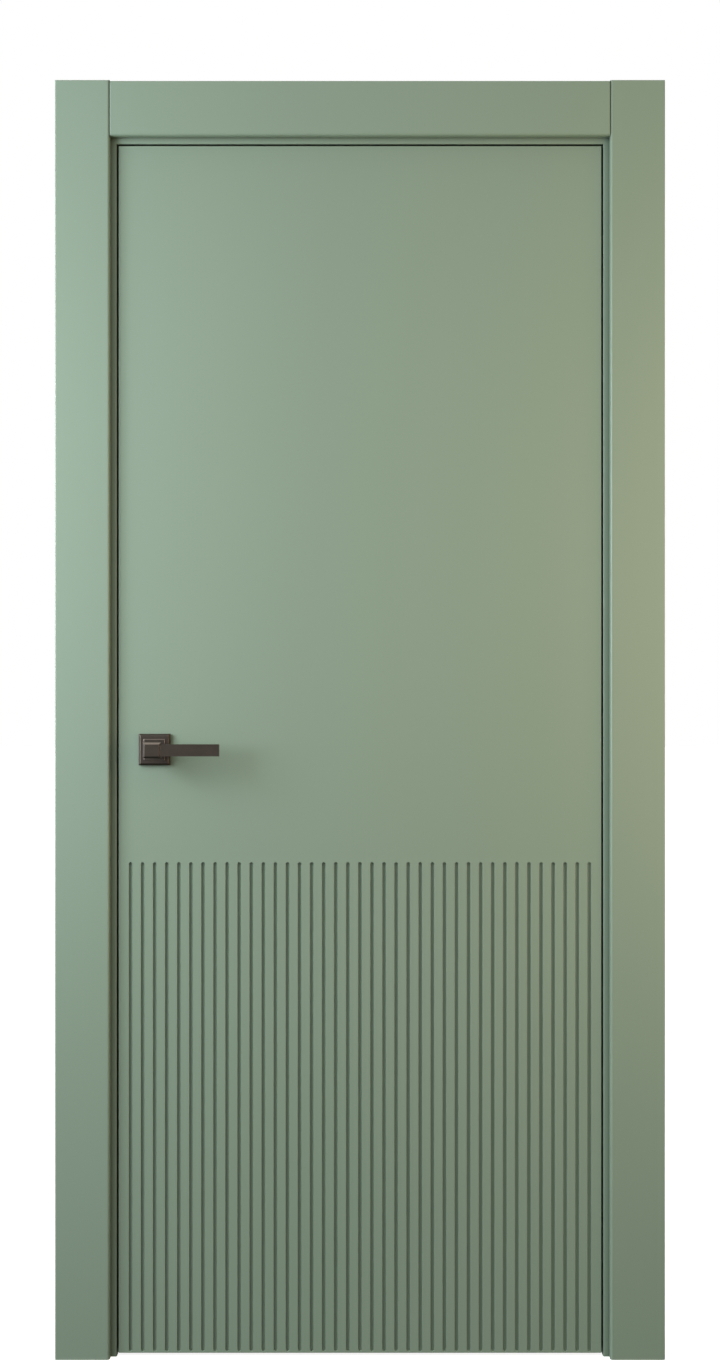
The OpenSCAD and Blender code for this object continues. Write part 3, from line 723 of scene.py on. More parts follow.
def softened(piece: Piece, width: float, kind: int, over: float = 30.0) -> Piece:
    """Breaks a piece's sharp edges.

    Args:
        piece: The object.
        width: How much of each edge is taken off.
        kind: Kind of the broken edges' faces.
        over: Angle in degrees above which an edge is sharp.

    Returns:
        The same object.
    """
    modifier = piece.modifiers.new("softened", "BEVEL")
    modifier.width = width * MM
    modifier.segments = 2
    modifier.limit_method = "ANGLE"
    modifier.angle_limit = math.radians(over)
    modifier.material = kind
    return baked(piece)


def smoothed(piece: Piece, crease: float = 32.0) -> Piece:
    """Shades curves smooth and keeps flat faces flat and edges crisp.

    Args:
        piece: The object.
        crease: Angle in degrees above which an edge stays crisp.

    Returns:
        The same object.
    """
    piece.data.shade_smooth()
    piece.data.set_sharp_from_angle(angle=math.radians(crease))
    modifier = piece.modifiers.new("smoothed", "WEIGHTED_NORMAL")
    modifier.keep_sharp = True
    modifier.weight = 100
    return baked(piece)


def hand_over(piece: Piece, body: Body, slot: Slot, *nodes: str) -> None:
    """Gives a finished piece to its body in place of CAD nodes.

    Args:
        piece: The object.
        body: What it moves with.
        slot: The finish that it can be repainted by; not used.
        *nodes: The CAD nodes that it stands for.
    """
    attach(piece, body.value)
    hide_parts(*nodes)
    faces = len(piece.data.polygons)
    log.info("%s: %d faces on %s, for %s", piece.name, faces, body.value, ", ".join(nodes))


def dress(finish: Finish, *nodes: str) -> None:
    """Gives CAD nodes their finish.

    Args:
        finish: The finish.
        *nodes: The nodes' names.
    """
    for node in nodes:
        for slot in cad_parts[node].material_slots:
            slot.material = finish.material()
    log.info("%s: %s", finish.name, ", ".join(nodes))


# ---- Geometry node trees ----


def new_tree(name: str, sockets: dict[str, str]) -> Tree:
    """Starts a geometry node tree with named inputs.

    Args:
        name: The tree's name.
        sockets: Socket type of each input after the geometry, by its name.

    Returns:
        The tree, with a geometry input and output, and an input for the finish.
    """
    tree = bpy.data.node_groups.new(name, "GeometryNodeTree")
    inputs = {"Geometry": "NodeSocketGeometry", **sockets, "Finish": "NodeSocketMaterial"}
    for label, kind in inputs.items():
        tree.interface.new_socket(label, in_out="INPUT", socket_type=kind)
    tree.interface.new_socket("Geometry", in_out="OUTPUT", socket_type="NodeSocketGeometry")
    return tree


def end_tree(tree: Tree, instances: Socket, finish: Socket) -> Tree:
    """Makes a tree's instances plain mesh with its finish.

    Args:
        tree: The tree.
        instances: What it has set out.
        finish: The finish that it was given.

    Returns:
        The same tree.
    """
    solid = add_node(tree, "GeometryNodeRealizeInstances", {"Geometry": instances}).outputs[0]
    inputs = {"Geometry": solid, "Material": finish}
    finished = add_node(tree, "GeometryNodeSetMaterial", inputs).outputs[0]
    add_node(tree, "NodeGroupOutput", {"Geometry": finished})
    return tree


def grown(piece: Piece, tree: Tree, values: dict[str, object]) -> Piece:
    """Runs a tree on a piece and keeps the result as plain mesh.

    Args:
        piece: The object whose mesh the tree starts from.
        tree: The tree.
        values: Value of each input, by name.

    Returns:
        The same object.
    """
    modifier = piece.modifiers.new(tree.name, "NODES")
    modifier.node_group = tree
    for item in tree.interface.items_tree:
        if item.item_type == "SOCKET" and item.in_out == "INPUT" and item.name in values:
            modifier[item.identifier] = values[item.name]
    return baked(piece)


def row_tree() -> Tree:
    """Builds the tree that repeats one tile in a straight row.

    Returns:
        The tree, with the count, the start, the step and the finish as inputs.
    """
    vector = "NodeSocketVector"
    sockets = {"Count": "NodeSocketInt", "Start": vector, "Step": vector}
    tree = new_tree("row_of_tiles", sockets)
    given = add_node(tree, "NodeGroupInput").outputs
    run = {"Count": given["Count"], "Start Location": given["Start"], "Offset": given["Step"]}
    line = add_node(tree, "GeometryNodeMeshLine", run, mode="OFFSET")
    inputs = {"Points": line.outputs["Mesh"], "Instance": given["Geometry"]}
    tiles = add_node(tree, "GeometryNodeInstanceOnPoints", inputs)
    return end_tree(tree, tiles.outputs["Instances"], given["Finish"])


def driven_screws_tree() -> Tree:
    """Builds the tree that sets a screw in every spot, each stopped at its own turn.

    Returns:
        The tree, with the screw, the seed of the turns and the finish as inputs.
    """
    tree = new_tree("driven_screws", {"Screw": "NodeSocketObject", "Seed": "NodeSocketInt"})
    given = add_node(tree, "NodeGroupInput").outputs
    source = {"Object": given["Screw"], "As Instance": True}
    screw = add_node(tree, "GeometryNodeObjectInfo", source)
    named = {"Name": "facing"}
    facing = add_node(tree, "GeometryNodeInputNamedAttribute", named, data_type="FLOAT_VECTOR")
    way = {"Vector": facing.outputs["Attribute"]}
    upright = add_node(tree, "FunctionNodeAlignRotationToVector", way, axis="Z")
    turns = {0: (0.0, 0.0, 0.0), 1: (0.0, 0.0, math.tau), "Seed": given["Seed"]}
    turn = add_node(tree, "FunctionNodeRandomValue", turns, data_type="FLOAT_VECTOR")
    spin = add_node(tree, "FunctionNodeEulerToRotation", {"Euler": turn.outputs[0]})
    both = {"Rotation": upright.outputs["Rotation"], "Rotate By": spin.outputs["Rotation"]}
    turned = add_node(tree, "FunctionNodeRotateRotation", both, rotation_space="LOCAL")
    inputs = {
        "Points": given["Geometry"],
        "Instance": screw.outputs["Geometry"],
        "Rotation": turned.outputs["Rotation"],
    }
    screws = add_node(tree, "GeometryNodeInstanceOnPoints", inputs)
    return end_tree(tree, screws.outputs["Instances"], given["Finish"])


# ---- The door ----


@dataclass
class ConcealedHinges:
    """Three concealed hinges between the hinge post and the leaf's edge."""

    axis_x: float = 401.5
    mid_y: float = 0.4
    heights: tuple[float, ...] = (206.0, 1006.0, 1806.0)
    half_gap: float = 1.5
    plate_t: float = 3.0
    plate_half_w: float = 16.0
    plate_half_h: float = 55.0
    plate_r: float = 8.0
    body_half_w: float = 15.6
    body_half_h: float = 28.0
    body_r: float = 2.5
    body_reach: float = 21.5
    play: float = 0.3
    screw_rise: tuple[float, ...] = (37.0, 47.0)

    def slab(self, near: float, far: float, half_w: float, half_h: float, radius: float) -> Shell:
        """A rounded upright slab on every hinge's height, with the mortise's play round it.

        Args:
            near: Where it starts along X.
            far: Where it ends along X.
            half_w: Half of the width along Y of what goes in.
            half_h: Half of its height.
            radius: Radius of the slab's corners.

        Returns:
            One closed shell for each hinge.
        """
        b, c = half_w + self.play, half_h + self.play
        outline = rounded_outline([Corner(y, z, radius) for y, z in rectangle((-b, -c), (b, c))])
        shell = Shell()
        for height in self.heights:
            placed = [(self.mid_y + y, height + z) for y, z in outline]
            shell.prism(placed, Axis.X, near, far)
        return shell

    def leaf_mortises(self) -> list[Shell]:
        """What the hinges take out of the leaf's edge.

        Returns:
            The beds of their plates and the pockets of their bodies.
        """
        face = self.axis_x - self.half_gap
        bed, floor = face - self.plate_t, self.axis_x - self.body_reach - self.play
        plate = (self.plate_half_w, self.plate_half_h, self.plate_r)
        body = (self.body_half_w, self.body_half_h, self.body_r)
        in_bed = face - self.plate_t / 2
        return [self.slab(face + OVERLAP, bed, *plate), self.slab(in_bed, floor, *body)]

    def screw_spots(self, side: int) -> list[Spot]:
        """Where the plates' screws sit.

        Args:
            side: 1 for the frame's plates and -1 for the leaf's.

        Returns:
            Each spot with the direction that the screw's head faces.
        """
        face = self.axis_x + side * self.half_gap
        return [
            ((face, self.mid_y, height + way * rise), (-side, 0.0, 0.0))
            for height in self.heights
            for rise in self.screw_rise
            for way in (-1, 1)
        ]

    def build(self) -> None:
        """Dresses the housings, arms and pins."""
        for number in range(1, len(self.heights) + 1):
            dress(CAST_ZINC, f"hinge_{number}_frame_housing", f"hinge_{number}_leaf_housing")
            dress(ROLLED_STEEL, f"hinge_{number}_frame_arm", f"hinge_{number}_leaf_arm")
        dress(BRUSHED_STEEL, "frame_pivot_pins", "leaf_pivot_pins", "center_pins")


@dataclass
class FlutedSkin:
    """The leaf's front: an enamelled board with upright flutes milled into its lower half."""

    half_w: float = 400.0
    foot: float = 6.0
    top: float = 2006.0
    front_y: float = -20.0
    back_y: float = -12.0
    arris: float = 1.0
    flute_w: float = 6.0
    flute_d: float = 4.0
    flute_low: float = 9.0
    flute_high: float = 819.0
    pitch: float = 20.0
    count: int = 39
    lip: float = 0.3  # the enamel rounds the flutes' edges
    root: float = 0.5  # and fills their inner corners
    tile_top: float = 830.0
    arc_steps: int = 4
    end_steps: int = 12
    handle_x: float = -340.0
    handle_z: float = 1006.0
    spindle_hole_r: float = 10.5
    bolt_hole_r: float = 2.3
    bolt_x: float = 19.0

    @property
    def field_half(self) -> float:
        """Half of the width that the flutes' tiles cover."""
        return self.count * self.pitch / 2

    @property
    def stations(self) -> list[float]:
        """Where the tiles have points along their upper and lower ends."""
        return [self.pitch / 2 * i - self.field_half for i in range(2 * self.count + 1)]

    def flute_ring(self, inset: float, y: float) -> list[Point]:
        """A flute's outline at one depth.

        Args:
            inset: How far inside the flute's walls it runs; less than zero is outside them.
            y: The depth.

        Returns:
            The points, from the lowest one up the left side and down the right.
        """
        radius = self.flute_w / 2 - inset
        low, high = self.flute_low + self.flute_w / 2, self.flute_high - self.flute_w / 2
        n = self.end_steps
        turns = [(low, -90 - 90 * k / n) for k in range(n + 1)]
        turns += [(high, 180 - 90 * k / n) for k in range(2 * n + 1)]
        turns += [(low, -90 * k / n) for k in range(n)]
        spots = [(middle, math.radians(turn)) for middle, turn in turns]
        return [(radius * math.cos(t), y, middle + radius * math.sin(t)) for middle, t in spots]

    def rim(self, inset: float, y: float) -> list[Point]:
        """The skin's outline at one depth, with a point wherever the tiles have one.

        Args:
            inset: How far inside the skin's edges it runs.
            y: The depth.

        Returns:
            The points, from left to right along the foot and back along the top.
        """
        xs = [inset - self.half_w, *self.stations, self.half_w - inset]
        foot = [(x, y, self.foot + inset) for x in xs]
        return foot + [(x, y, self.top - inset) for x in reversed(xs)]

    def tile(self) -> Shell:
        """One flute with the strip of face round it.

        Returns:
            An open shell whose middle is at x = 0.
        """
        shell = Shell()
        floor = self.front_y + self.flute_d
        lip, root = round_over(self.lip, self.arc_steps), round_over(self.root, self.arc_steps)
        profile = [(-out, self.front_y + depth) for out, depth in lip]
        profile += [(inset, floor - rise) for rise, inset in root]
        rim = shell.cup([self.flute_ring(inset, y) for inset, y in profile])
        half, y = self.pitch / 2, self.front_y
        foot = shell.ring((x, y, self.foot + self.arris) for x in (-half, 0, half))
        head = shell.ring((x, y, self.tile_top) for x in (-half, 0, half))
        top = 2 * self.end_steps + 1
        shell.face([foot[0], foot[1], *rim[: top + 1], head[1], head[0]])
        shell.face([foot[1], foot[2], head[2], head[1], *rim[top:], rim[0]])
        return shell

    def surround(self) -> Shell:
        """The rest of the skin: the face round the flutes' tiles, the arrises, edges and back.

        Returns:
            A shell that is open where the flutes' tiles go.
        """
        shell = Shell()
        edge = round_over(self.arris, self.arc_steps)
        profile = [(inset, self.front_y + depth) for inset, depth in edge]
        front = shell.cup([self.rim(inset, y) for inset, y in [*profile, (0.0, self.back_y)]])
        joint = shell.ring((x, self.front_y, self.tile_top) for x in self.stations)
        end, last = len(front) - 1, len(joint) + 1
        for i in range(len(joint) - 1):
            shell.face((joint[i], joint[i + 1], front[end - i - 2], front[end - i - 1]))
        right = (front[last - 1], front[last], front[end - last], front[end - last + 1])
        shell.face((front[0], front[1], joint[0], front[end - 1], front[end]))
        shell.face((*right, joint[-1]))
        return shell

    def handle_holes(self) -> Shell:
        """What the handle's spindle and through bolts take out of the skin.

        Returns:
            A closed shell for each hole.
        """
        shell = Shell()
        bolt = self.bolt_hole_r
        for off, radius in ((0.0, self.spindle_hole_r), (-self.bolt_x, bolt), (self.bolt_x, bolt)):
            circle = rounded_square(radius, radius)
            hole = [(self.handle_x + off + a, self.handle_z + b) for a, b in circle]
            shell.prism(hole, Axis.Y, self.front_y - OVERLAP, self.back_y + OVERLAP)
        return shell

    def build(self, hinges: ConcealedHinges) -> None:
        """Mills the flutes, closes the skin round them and cuts it for the handle and the hinges.

        Args:
            hinges: What the edge is cut for.
        """
        row = {
            "Count": self.count,
            "Start": ((self.pitch / 2 - self.field_half) * MM, 0.0, 0.0),
            "Step": (self.pitch * MM, 0.0, 0.0),
            "Finish": LEAF_ENAMEL.material(),
        }
        tiles = grown(new_piece("flutes", self.tile(), [LEAF_ENAMEL]), row_tree(), row)
        skin = new_piece("fluted_front_skin", self.surround(), [LEAF_ENAMEL])
        weld(skin.data, [tiles.data, skin.data], SEAM)
        for face in skin.data.polygons:
            face.material_index = Kind.PLAIN
        bpy.data.objects.remove(tiles)
        smoothed(combined(skin, [self.handle_holes(), *hinges.leaf_mortises()], Way.CUT))
        hand_over(skin, Body.LEAF, Slot.ENAMEL, "front_skin")


@dataclass
class Leaf:
    """The leaf's layers: the fluted front skin, and the others in the shapes they were drawn."""

    skin: FlutedSkin = field(default_factory=FlutedSkin)

    def build(self, hinges: ConcealedHinges) -> None:
        """Builds the front skin and dresses what lies behind it.

        Args:
            hinges: What the leaf's edge is cut for.
        """
        self.skin.build(hinges)
        dress(LEAF_ENAMEL, "back_skin")
        dress(PINE, "lock_stile", "hinge_stile", "top_rail", "bottom_rail")
        dress(CHIPS, "core_panel")


@dataclass
class Casings:
    """Two uprights and a head on each face of the frame, with tongues in the frame's grooves."""

    rebate_x: float = 403.0
    rebate_z: float = 2009.0
    near: float = 10.0
    far: float = 100.0
    face_y: float = -36.0
    wall_y: float = -20.0
    inner_r: float = 4.0
    outer_r: float = 2.0
    top: float = 2110.5
    tongue: tuple[float, float] = (23.0, 28.0)
    tongue_tip: float = -8.0
    tongue_top: float = 2031.8
    frame_mid_y: float = 20.0
    end_steps: int = 8

    def length(self, low: float, high: float, tongue_high: float, soft_low: bool) -> Shell:
        """A length of casing along Z, whose front arris is rounded at its upper end or at both.

        Args:
            low: Lower end of the board and its tongue.
            high: Upper end of the board.
            tongue_high: Upper end of the tongue.
            soft_low: Whether the lower end is rounded too.

        Returns:
            The board and its tongue, as distance from the rebate, depth and height.
        """
        section = [
            Corner(self.near, self.face_y, self.inner_r),
            Corner(self.far, self.face_y, self.outer_r),
            Corner(self.far, self.wall_y),
            Corner(self.near, self.wall_y),
        ]
        outline = rounded_outline(section)
        end = round_over(self.outer_r, self.end_steps)
        soft = [(low + inset, depth) for inset, depth in reversed(end)]
        levels = soft if soft_low else [(low, 0.0)]
        levels += [(high - inset, depth) for inset, depth in end]
        rings = [[(a, max(y, self.face_y + depth), z) for a, y in outline] for z, depth in levels]
        root, tip = self.wall_y - OVERLAP, self.tongue_tip
        board = Shell().loft(rings)
        return board.block((self.tongue[0], root, low), (self.tongue[1], tip, tongue_high))

    def across(self, y: float, face: Face) -> float:
        """A depth measured on the front, for either face."""
        return y if face is Face.FRONT else 2 * self.frame_mid_y - y

    def finish(self, shell: Shell, node: str) -> None:
        """Makes a piece of a casing's shell, in place of its CAD node."""
        piece = smoothed(new_piece(f"enamelled_{node}", shell, [ENAMEL]))
        hand_over(piece, Body.FRAME, Slot.ENAMEL, node)

    def upright(self, side: int, face: Face) -> None:
        """Builds one upright.

        Args:
            side: 1 on the hinge side and -1 on the lock side.
            face: The face of the door that it is on.
        """
        shell = self.length(0.0, self.top, self.tongue_top, soft_low=False)
        shell.placed(lambda p: (side * (self.rebate_x + p[0]), self.across(p[1], face), p[2]))
        self.finish(shell, f"{face.word}_casing_{'right' if side > 0 else 'left'}")

    def head(self, face: Face) -> None:
        """Builds one head.

        Args:
            face: The face of the door that it is on.
        """
        half = self.rebate_x + self.near
        shell = self.length(-half, half, half, soft_low=True)
        shell.placed(lambda p: (p[2], self.across(p[1], face), self.rebate_z + p[0]))
        self.finish(shell, f"{face.word}_casing_head")

    def build(self) -> None:
        """Builds all six."""
        for face in Face:
            self.upright(-1, face)
            self.upright(1, face)
            self.head(face)


@dataclass
class DoorFrame:
    """The posts and the head, with their seals and the casings."""

    casings: Casings = field(default_factory=Casings)

    def build(self) -> None:
        """Builds the casings and dresses the rest."""
        self.casings.build()
        dress(ENAMEL, "lock_post", "hinge_post", "head_jamb")
        dress(RUBBER, "lock_side_seal", "hinge_side_seal", "head_seal")


@dataclass
class LeverHandle:
    """The lever handles on square roses, on both faces of the leaf."""

    x: float = -340.0
    z: float = 1006.0
    leaf_face: float = 20.0
    rose_half: float = 26.0
    rose_off: float = 8.5
    rose_bevel: float = 3.0
    rose_wall: float = 1.2
    rose_foot_r: float = 0.8
    rose_rim_r: float = 1.6
    rose_corner_r: float = 0.7
    raised_half: float = 17.5
    raised_off: float = 9.9
    raised_bevel: float = 0.7
    raised_r: float = 0.3
    arc_step: float = 20.0  # in degrees
    bush_r: float = 11.5
    arris: float = 0.8
    collar_r: float = 10.0
    collar_off: float = 2.0
    collar_steps: int = 16
    neck_half: float = 10.0
    neck_off: float = 10.3
    block_near: float = -13.5
    block_far: float = 16.0
    block_half_h: float = 12.75
    block_off: tuple[float, float] = (43.0, 58.0)
    block_bevel: float = 3.0
    bar_end: float = 110.5
    bar_half_h: float = 9.8
    bar_off: tuple[float, float] = (47.5, 56.5)
    socket_half: float = 4.05
    socket_off: float = 36.0
    grub_r: float = 2.5
    grub_off: float = 28.0

    def placed(self, shell: Shell, face: Face) -> Shell:
        """Puts a shell drawn as x, height and distance off the leaf on one face of the leaf."""
        y = face.value
        return shell.placed(lambda p: (self.x + p[0], y * (self.leaf_face + p[2]), self.z + p[1]))

    def rose_section(self) -> list[Corner]:
        """Half of a rose's section, from the foot over the top to the bush and back inside.

        Returns:
            Its corners, as half width and distance off the leaf.
        """
        inner, ceiling = self.rose_half - self.rose_wall, self.rose_off - self.rose_wall
        return [
            Corner(self.rose_half, 0.0),
            Corner(self.rose_half, self.rose_off - self.rose_bevel, self.rose_foot_r),
            Corner(self.rose_half - self.rose_bevel, self.rose_off, self.rose_rim_r),
            Corner(self.raised_half, self.rose_off),
            Corner(self.raised_half, self.raised_off - self.raised_bevel, self.raised_r),
            Corner(self.raised_half - self.raised_bevel, self.raised_off, self.raised_r),
            Corner(self.bush_r, self.raised_off),
            Corner(self.bush_r, ceiling),
            Corner(inner - self.rose_bevel, ceiling),
            Corner(inner, ceiling - self.rose_bevel),
            Corner(inner, 0.0),
        ]

    def rose(self, face: Face) -> None:
        """Builds the cover of one rose: a bevelled square with a raised one on it, hollow behind.

        Args:
            face: The face of the door that it is on.
        """
        section = self.rose_section()
        raised_edge, raised_rim = 4, 5  # the corners that get a painted highlight
        rings: list[list[Point]] = []
        kinds: list[int] = []
        for i in range(len(section)):
            arc = corner_arc(section, i, self.arc_step)
            for k, (half, off) in enumerate(arc):
                radius = half if half == self.bush_r else self.rose_corner_r
                rings.append([(a, b, off) for a, b in rounded_square(half, radius)])
                # painted highlight along the raised square's edge
                highlighted = i == raised_edge or (i == raised_rim and k < len(arc) - 1)
                kinds.append(Kind.RUBBED if highlighted else Kind.PLAIN)
        shell = self.placed(Shell().loft(rings, kinds, closed=True), face)
        piece = smoothed(new_piece(f"{face.word}_rose", shell, [BRONZE, HIGHLIGHT_BRONZE]))
        hand_over(piece, Body.LEAF, Slot.BRONZE, f"{face.word}_rosette_cover")

    def grip_block(self) -> Shell:
        """The bevelled block that a lever starts from.

        Returns:
            The block, with a painted highlight on the bevel on its upper side.
        """
        low, high = self.block_off
        bevel, half = self.block_bevel, self.block_half_h
        rings: list[list[Point]] = []
        for inset, off in ((0.0, low), (0.0, high - bevel), (bevel, high)):
            near, far = self.block_near + inset, self.block_far - inset
            plan = rectangle((near, inset - half), (far, half - inset))
            rings.append([(x, z, off) for x, z in plan])
        block = Shell().loft(rings)
        upper_bevel = 6  # four sides of the block and then four bevels, of which it is the third
        # the upper bevel gets the lighter bronze: a painted highlight where light falls from above
        block.kinds[upper_bevel] = Kind.RUBBED
        return block

    def grip(self, face: Face) -> None:
        """Builds one lever: collar, square neck, bevelled block and flat bar, forged as one.

        Args:
            face: The face of the door that it is on.
        """
        neck, bar, socket = self.neck_half, self.bar_half_h, self.socket_half
        bar_start = self.block_far - self.block_bevel - OVERLAP
        collar = rounded_square(self.collar_r, self.collar_r, self.collar_steps)
        grub = [(a, self.grub_off + b) for a, b in rounded_square(self.grub_r, self.grub_r)]
        added = [
            Shell().block((bar_start, -bar, self.bar_off[0]), (self.bar_end, bar, self.bar_off[1])),
            Shell().block((-neck, -neck, self.neck_off), (neck, neck, self.block_off[0] + OVERLAP)),
            Shell().prism(collar, Axis.Z, self.collar_off, self.neck_off + OVERLAP),
        ]
        taken = [
            Shell().block((-socket, -socket, 0.0), (socket, socket, self.socket_off)),
            Shell().prism(grub, Axis.Y, -neck - OVERLAP, 0.0),
        ]
        finishes = [BRONZE, HIGHLIGHT_BRONZE]
        piece = new_piece(f"{face.word}_grip", self.placed(self.grip_block(), face), finishes)
        combined(piece, [self.placed(shell, face) for shell in added], Way.JOIN)
        combined(piece, [self.placed(shell, face) for shell in taken], Way.CUT)
        # the broken edges get the lighter bronze: a painted highlight
        smoothed(softened(piece, self.arris, Kind.RUBBED))
        hand_over(piece, Body.HANDLE, Slot.BRONZE, f"{face.word}_lever")

    def build(self) -> None:
        """Builds both roses and grips and dresses what turns and lies inside them."""
        for face in Face:
            self.rose(face)
            self.grip(face)
        dress(NYLON, "front_rosette_base", "back_rosette_base", "front_bush", "back_bush")
        dress(ROLLED_STEEL, "spindle", "rosette_bolts", "grub_screws")


@dataclass
class Screw:
    """A countersunk screw with a cross recess, drawn with its head's face at z = 0."""

    length: float = 28.0
    shank_r: float = 2.0
    head_r: float = 4.0
    rim: float = 0.15
    recess_l: float = 4.6
    recess_w: float = 1.0
    recess_d: float = 1.5
    mouth: tuple[float, float] = (1.1, 0.1)  # the recess above its opening, as shares of its size
    floor: tuple[float, float] = (0.45, -1.0)  # and at its floor
    sides: int = 24

    def model(self) -> Piece:
        """Builds the screw that every spot gets.

        Returns:
            The screw, which the caller removes when it has been used.
        """
        profile = [
            (self.rim, -self.length),
            (self.shank_r, self.shank_r - self.length),
            (self.shank_r, self.shank_r - self.head_r),
            (self.head_r, -self.rim),
            (self.head_r - self.rim, 0.0),
        ]
        turns = [math.tau * k / self.sides for k in range(self.sides)]
        rings = [[(r * math.cos(t), r * math.sin(t), z) for t in turns] for r, z in profile]
        piece = new_piece("screw", Shell().loft(rings), [SCREW_STEEL])
        arms = [self.slot(), self.slot().placed(lambda p: (p[1], -p[0], p[2]))]
        return smoothed(combined(piece, arms, Way.CUT))

    def slot(self) -> Shell:
        """One arm of the cross recess.

        Returns:
            A closed shell, narrower at its floor.
        """
        rings: list[list[Point]] = []
        for share, depth in (self.mouth, self.floor):
            a, b = self.recess_l / 2 * share, self.recess_w / 2 * share
            plan = rectangle((-a, -b), (a, b))
            rings.append([(x, y, depth * self.recess_d) for x, y in plan])
        return Shell().loft(rings)


@dataclass
class ScrewRow:
    """Screws of one kind that a CAD node holds together."""

    node: str
    body: Body
    spots: list[Spot]
    screw: Screw

    def build(self, tree: Tree, seed: int) -> None:
        """Drives a screw into each spot.

        Args:
            tree: The tree that sets them.
            seed: Seed of the turns at which they stop.
        """
        mesh = bpy.data.meshes.new(self.node)
        mesh.from_pydata(in_metres(place for place, _ in self.spots), [], [])
        facing = mesh.attributes.new("facing", "FLOAT_VECTOR", "POINT")
        facing.data.foreach_set("vector", [c for _, way in self.spots for c in way])
        piece = in_scene(f"driven_{self.node}", mesh)
        model = self.screw.model()
        values = {"Screw": model, "Seed": seed, "Finish": SCREW_STEEL.material()}
        grown(piece, tree, values)
        bpy.data.objects.remove(model)
        hand_over(smoothed(piece), self.body, Slot.STEEL, self.node)


@dataclass
class ReturnSpring:
    """The coil spring over the follower's nose that lifts the handle again."""

    x: float = -353.0
    low: float = 1003.8
    top: float = 1033.0
    coil_r: float = 2.4
    wire_r: float = 0.5
    wire_steps: int = 2
    turns: int = 7
    steps: int = 20
    crease: float = 80.0  # so that the wire's few sides look round
    pressed: float = 0.68  # share of its length that is left with the handle down

    def build(self) -> None:
        """Winds the wire."""
        count = self.turns * self.steps
        rise = self.top - self.low - 2 * self.wire_r
        up = Vector((0.0, 0.0, 1.0))
        wire = rounded_square(self.wire_r, self.wire_r, self.wire_steps)
        rings: list[list[Point]] = []
        for i in range(count + 1):
            turn = math.tau * i / self.steps
            out = Vector((math.cos(turn), math.sin(turn), 0.0))
            height = self.low + self.wire_r + rise * i / count
            middle = out * self.coil_r + Vector((self.x, 0.0, height))
            rings.append([tuple(middle + out * a + up * b) for a, b in wire])
        piece = new_piece("coiled_return_spring", Shell().loft(rings), [SCREW_STEEL])
        hand_over(smoothed(piece, self.crease), Body.LEAF, Slot.STEEL, "return_spring")
        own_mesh(piece)


@dataclass
class Lock:
    """The latch in the leaf's edge and the strike in the frame."""

    edge_x: float = -400.0
    rebate_x: float = -403.0
    forend_z: float = 1011.0
    forend_rise: float = 90.0
    strike_z: float = 1051.0
    strike_rise: float = 50.0

    def forend_spots(self) -> list[Spot]:
        """Where the forend's screws sit."""
        heights = (self.forend_z - self.forend_rise, self.forend_z + self.forend_rise)
        return [((self.edge_x, 0.0, z), (-1.0, 0.0, 0.0)) for z in heights]

    def strike_spots(self) -> list[Spot]:
        """Where the strike plate's screws sit."""
        heights = (self.strike_z - self.strike_rise, self.strike_z + self.strike_rise)
        return [((self.rebate_x, 0.0, z), (1.0, 0.0, 0.0)) for z in heights]

    def build(self) -> None:
        """Dresses the latch and the strike."""
        dress(BRUSHED_STEEL, "lock_forend", "strike_plate", "magnetic_bolt")
        dress(ROLLED_STEEL, "lock_case", "lock_cover", "follower", "strike_magnet")
        dress(NYLON, "strike_box")


@dataclass
class Screws:
    """Every screw that shows on the door."""

    corner_x: float = 437.0
    corner_z: float = 2022.0
    corner_y: tuple[float, ...] = (4.0, 28.0)
    corner_length: float = 70.0
    seed: int = 7

    def corner_spots(self) -> list[Spot]:
        """Where the screws through the posts into the head sit."""
        sides = [(side, y) for side in (-1.0, 1.0) for y in self.corner_y]
        return [((side * self.corner_x, y, self.corner_z), (side, 0.0, 0.0)) for side, y in sides]

    def build(self, hinges: ConcealedHinges, lock: Lock) -> None:
        """Drives all of them.

        Args:
            hinges: Whose plates are screwed down.
            lock: Whose forend and strike are screwed down.
        """
        short, long = Screw(), Screw(length=self.corner_length)
        rows = (
            ScrewRow("frame_hinge_screws", Body.FRAME, hinges.screw_spots(1), short),
            ScrewRow("leaf_hinge_screws", Body.LEAF, hinges.screw_spots(-1), short),
            ScrewRow("forend_screws", Body.LEAF, lock.forend_spots(), short),
            ScrewRow("strike_screws", Body.FRAME, lock.strike_spots(), short),
            ScrewRow("corner_screws", Body.FRAME, self.corner_spots(), long),
        )
        tree = driven_screws_tree()
        for i, row in enumerate(rows):
            row.build(tree, self.seed + i)


# ---- The studio ----


class Lights(Enum):
    """The surfaces that a soft box lights: matt ones, and shiny ones as a highlight."""

    ALL = (True, True)
    MATT = (True, False)
    SHINY = (False, True)


@dataclass(frozen=True)
class SoftLight:
    """A soft box: a large even light. Places and sizes are in metres."""

    name: str
    place: Point
    aim: Point
    size: tuple[float, float]
    watts: float
    colour: str
    lights: Lights = Lights.ALL

    def build(self) -> None:
        """Hangs the light and turns it to its aim."""
        lamp = bpy.data.lights.new(self.name, "AREA")
        lamp.shape = "RECTANGLE"
        lamp.size, lamp.size_y = self.size
        lamp.energy = self.watts
        lamp.color = srgb(self.colour)[:3]
        holder = in_scene(self.name, lamp)
        holder.location = self.place
        way = Vector(self.aim) - Vector(self.place)
        holder.rotation_euler = way.to_track_quat("-Z", "Y").to_euler()
        holder.visible_camera = False
        holder.visible_diffuse, holder.visible_glossy = self.lights.value


KEY_AIM, LOW_AIM, TOP_AIM = (0.0, 0.0, 1.2), (0.0, 0.0, 1.1), (0.0, -0.05, 1.0)
KEY_BOX, BACK_BOX = (0.9, 1.2), (1.2, 1.4)

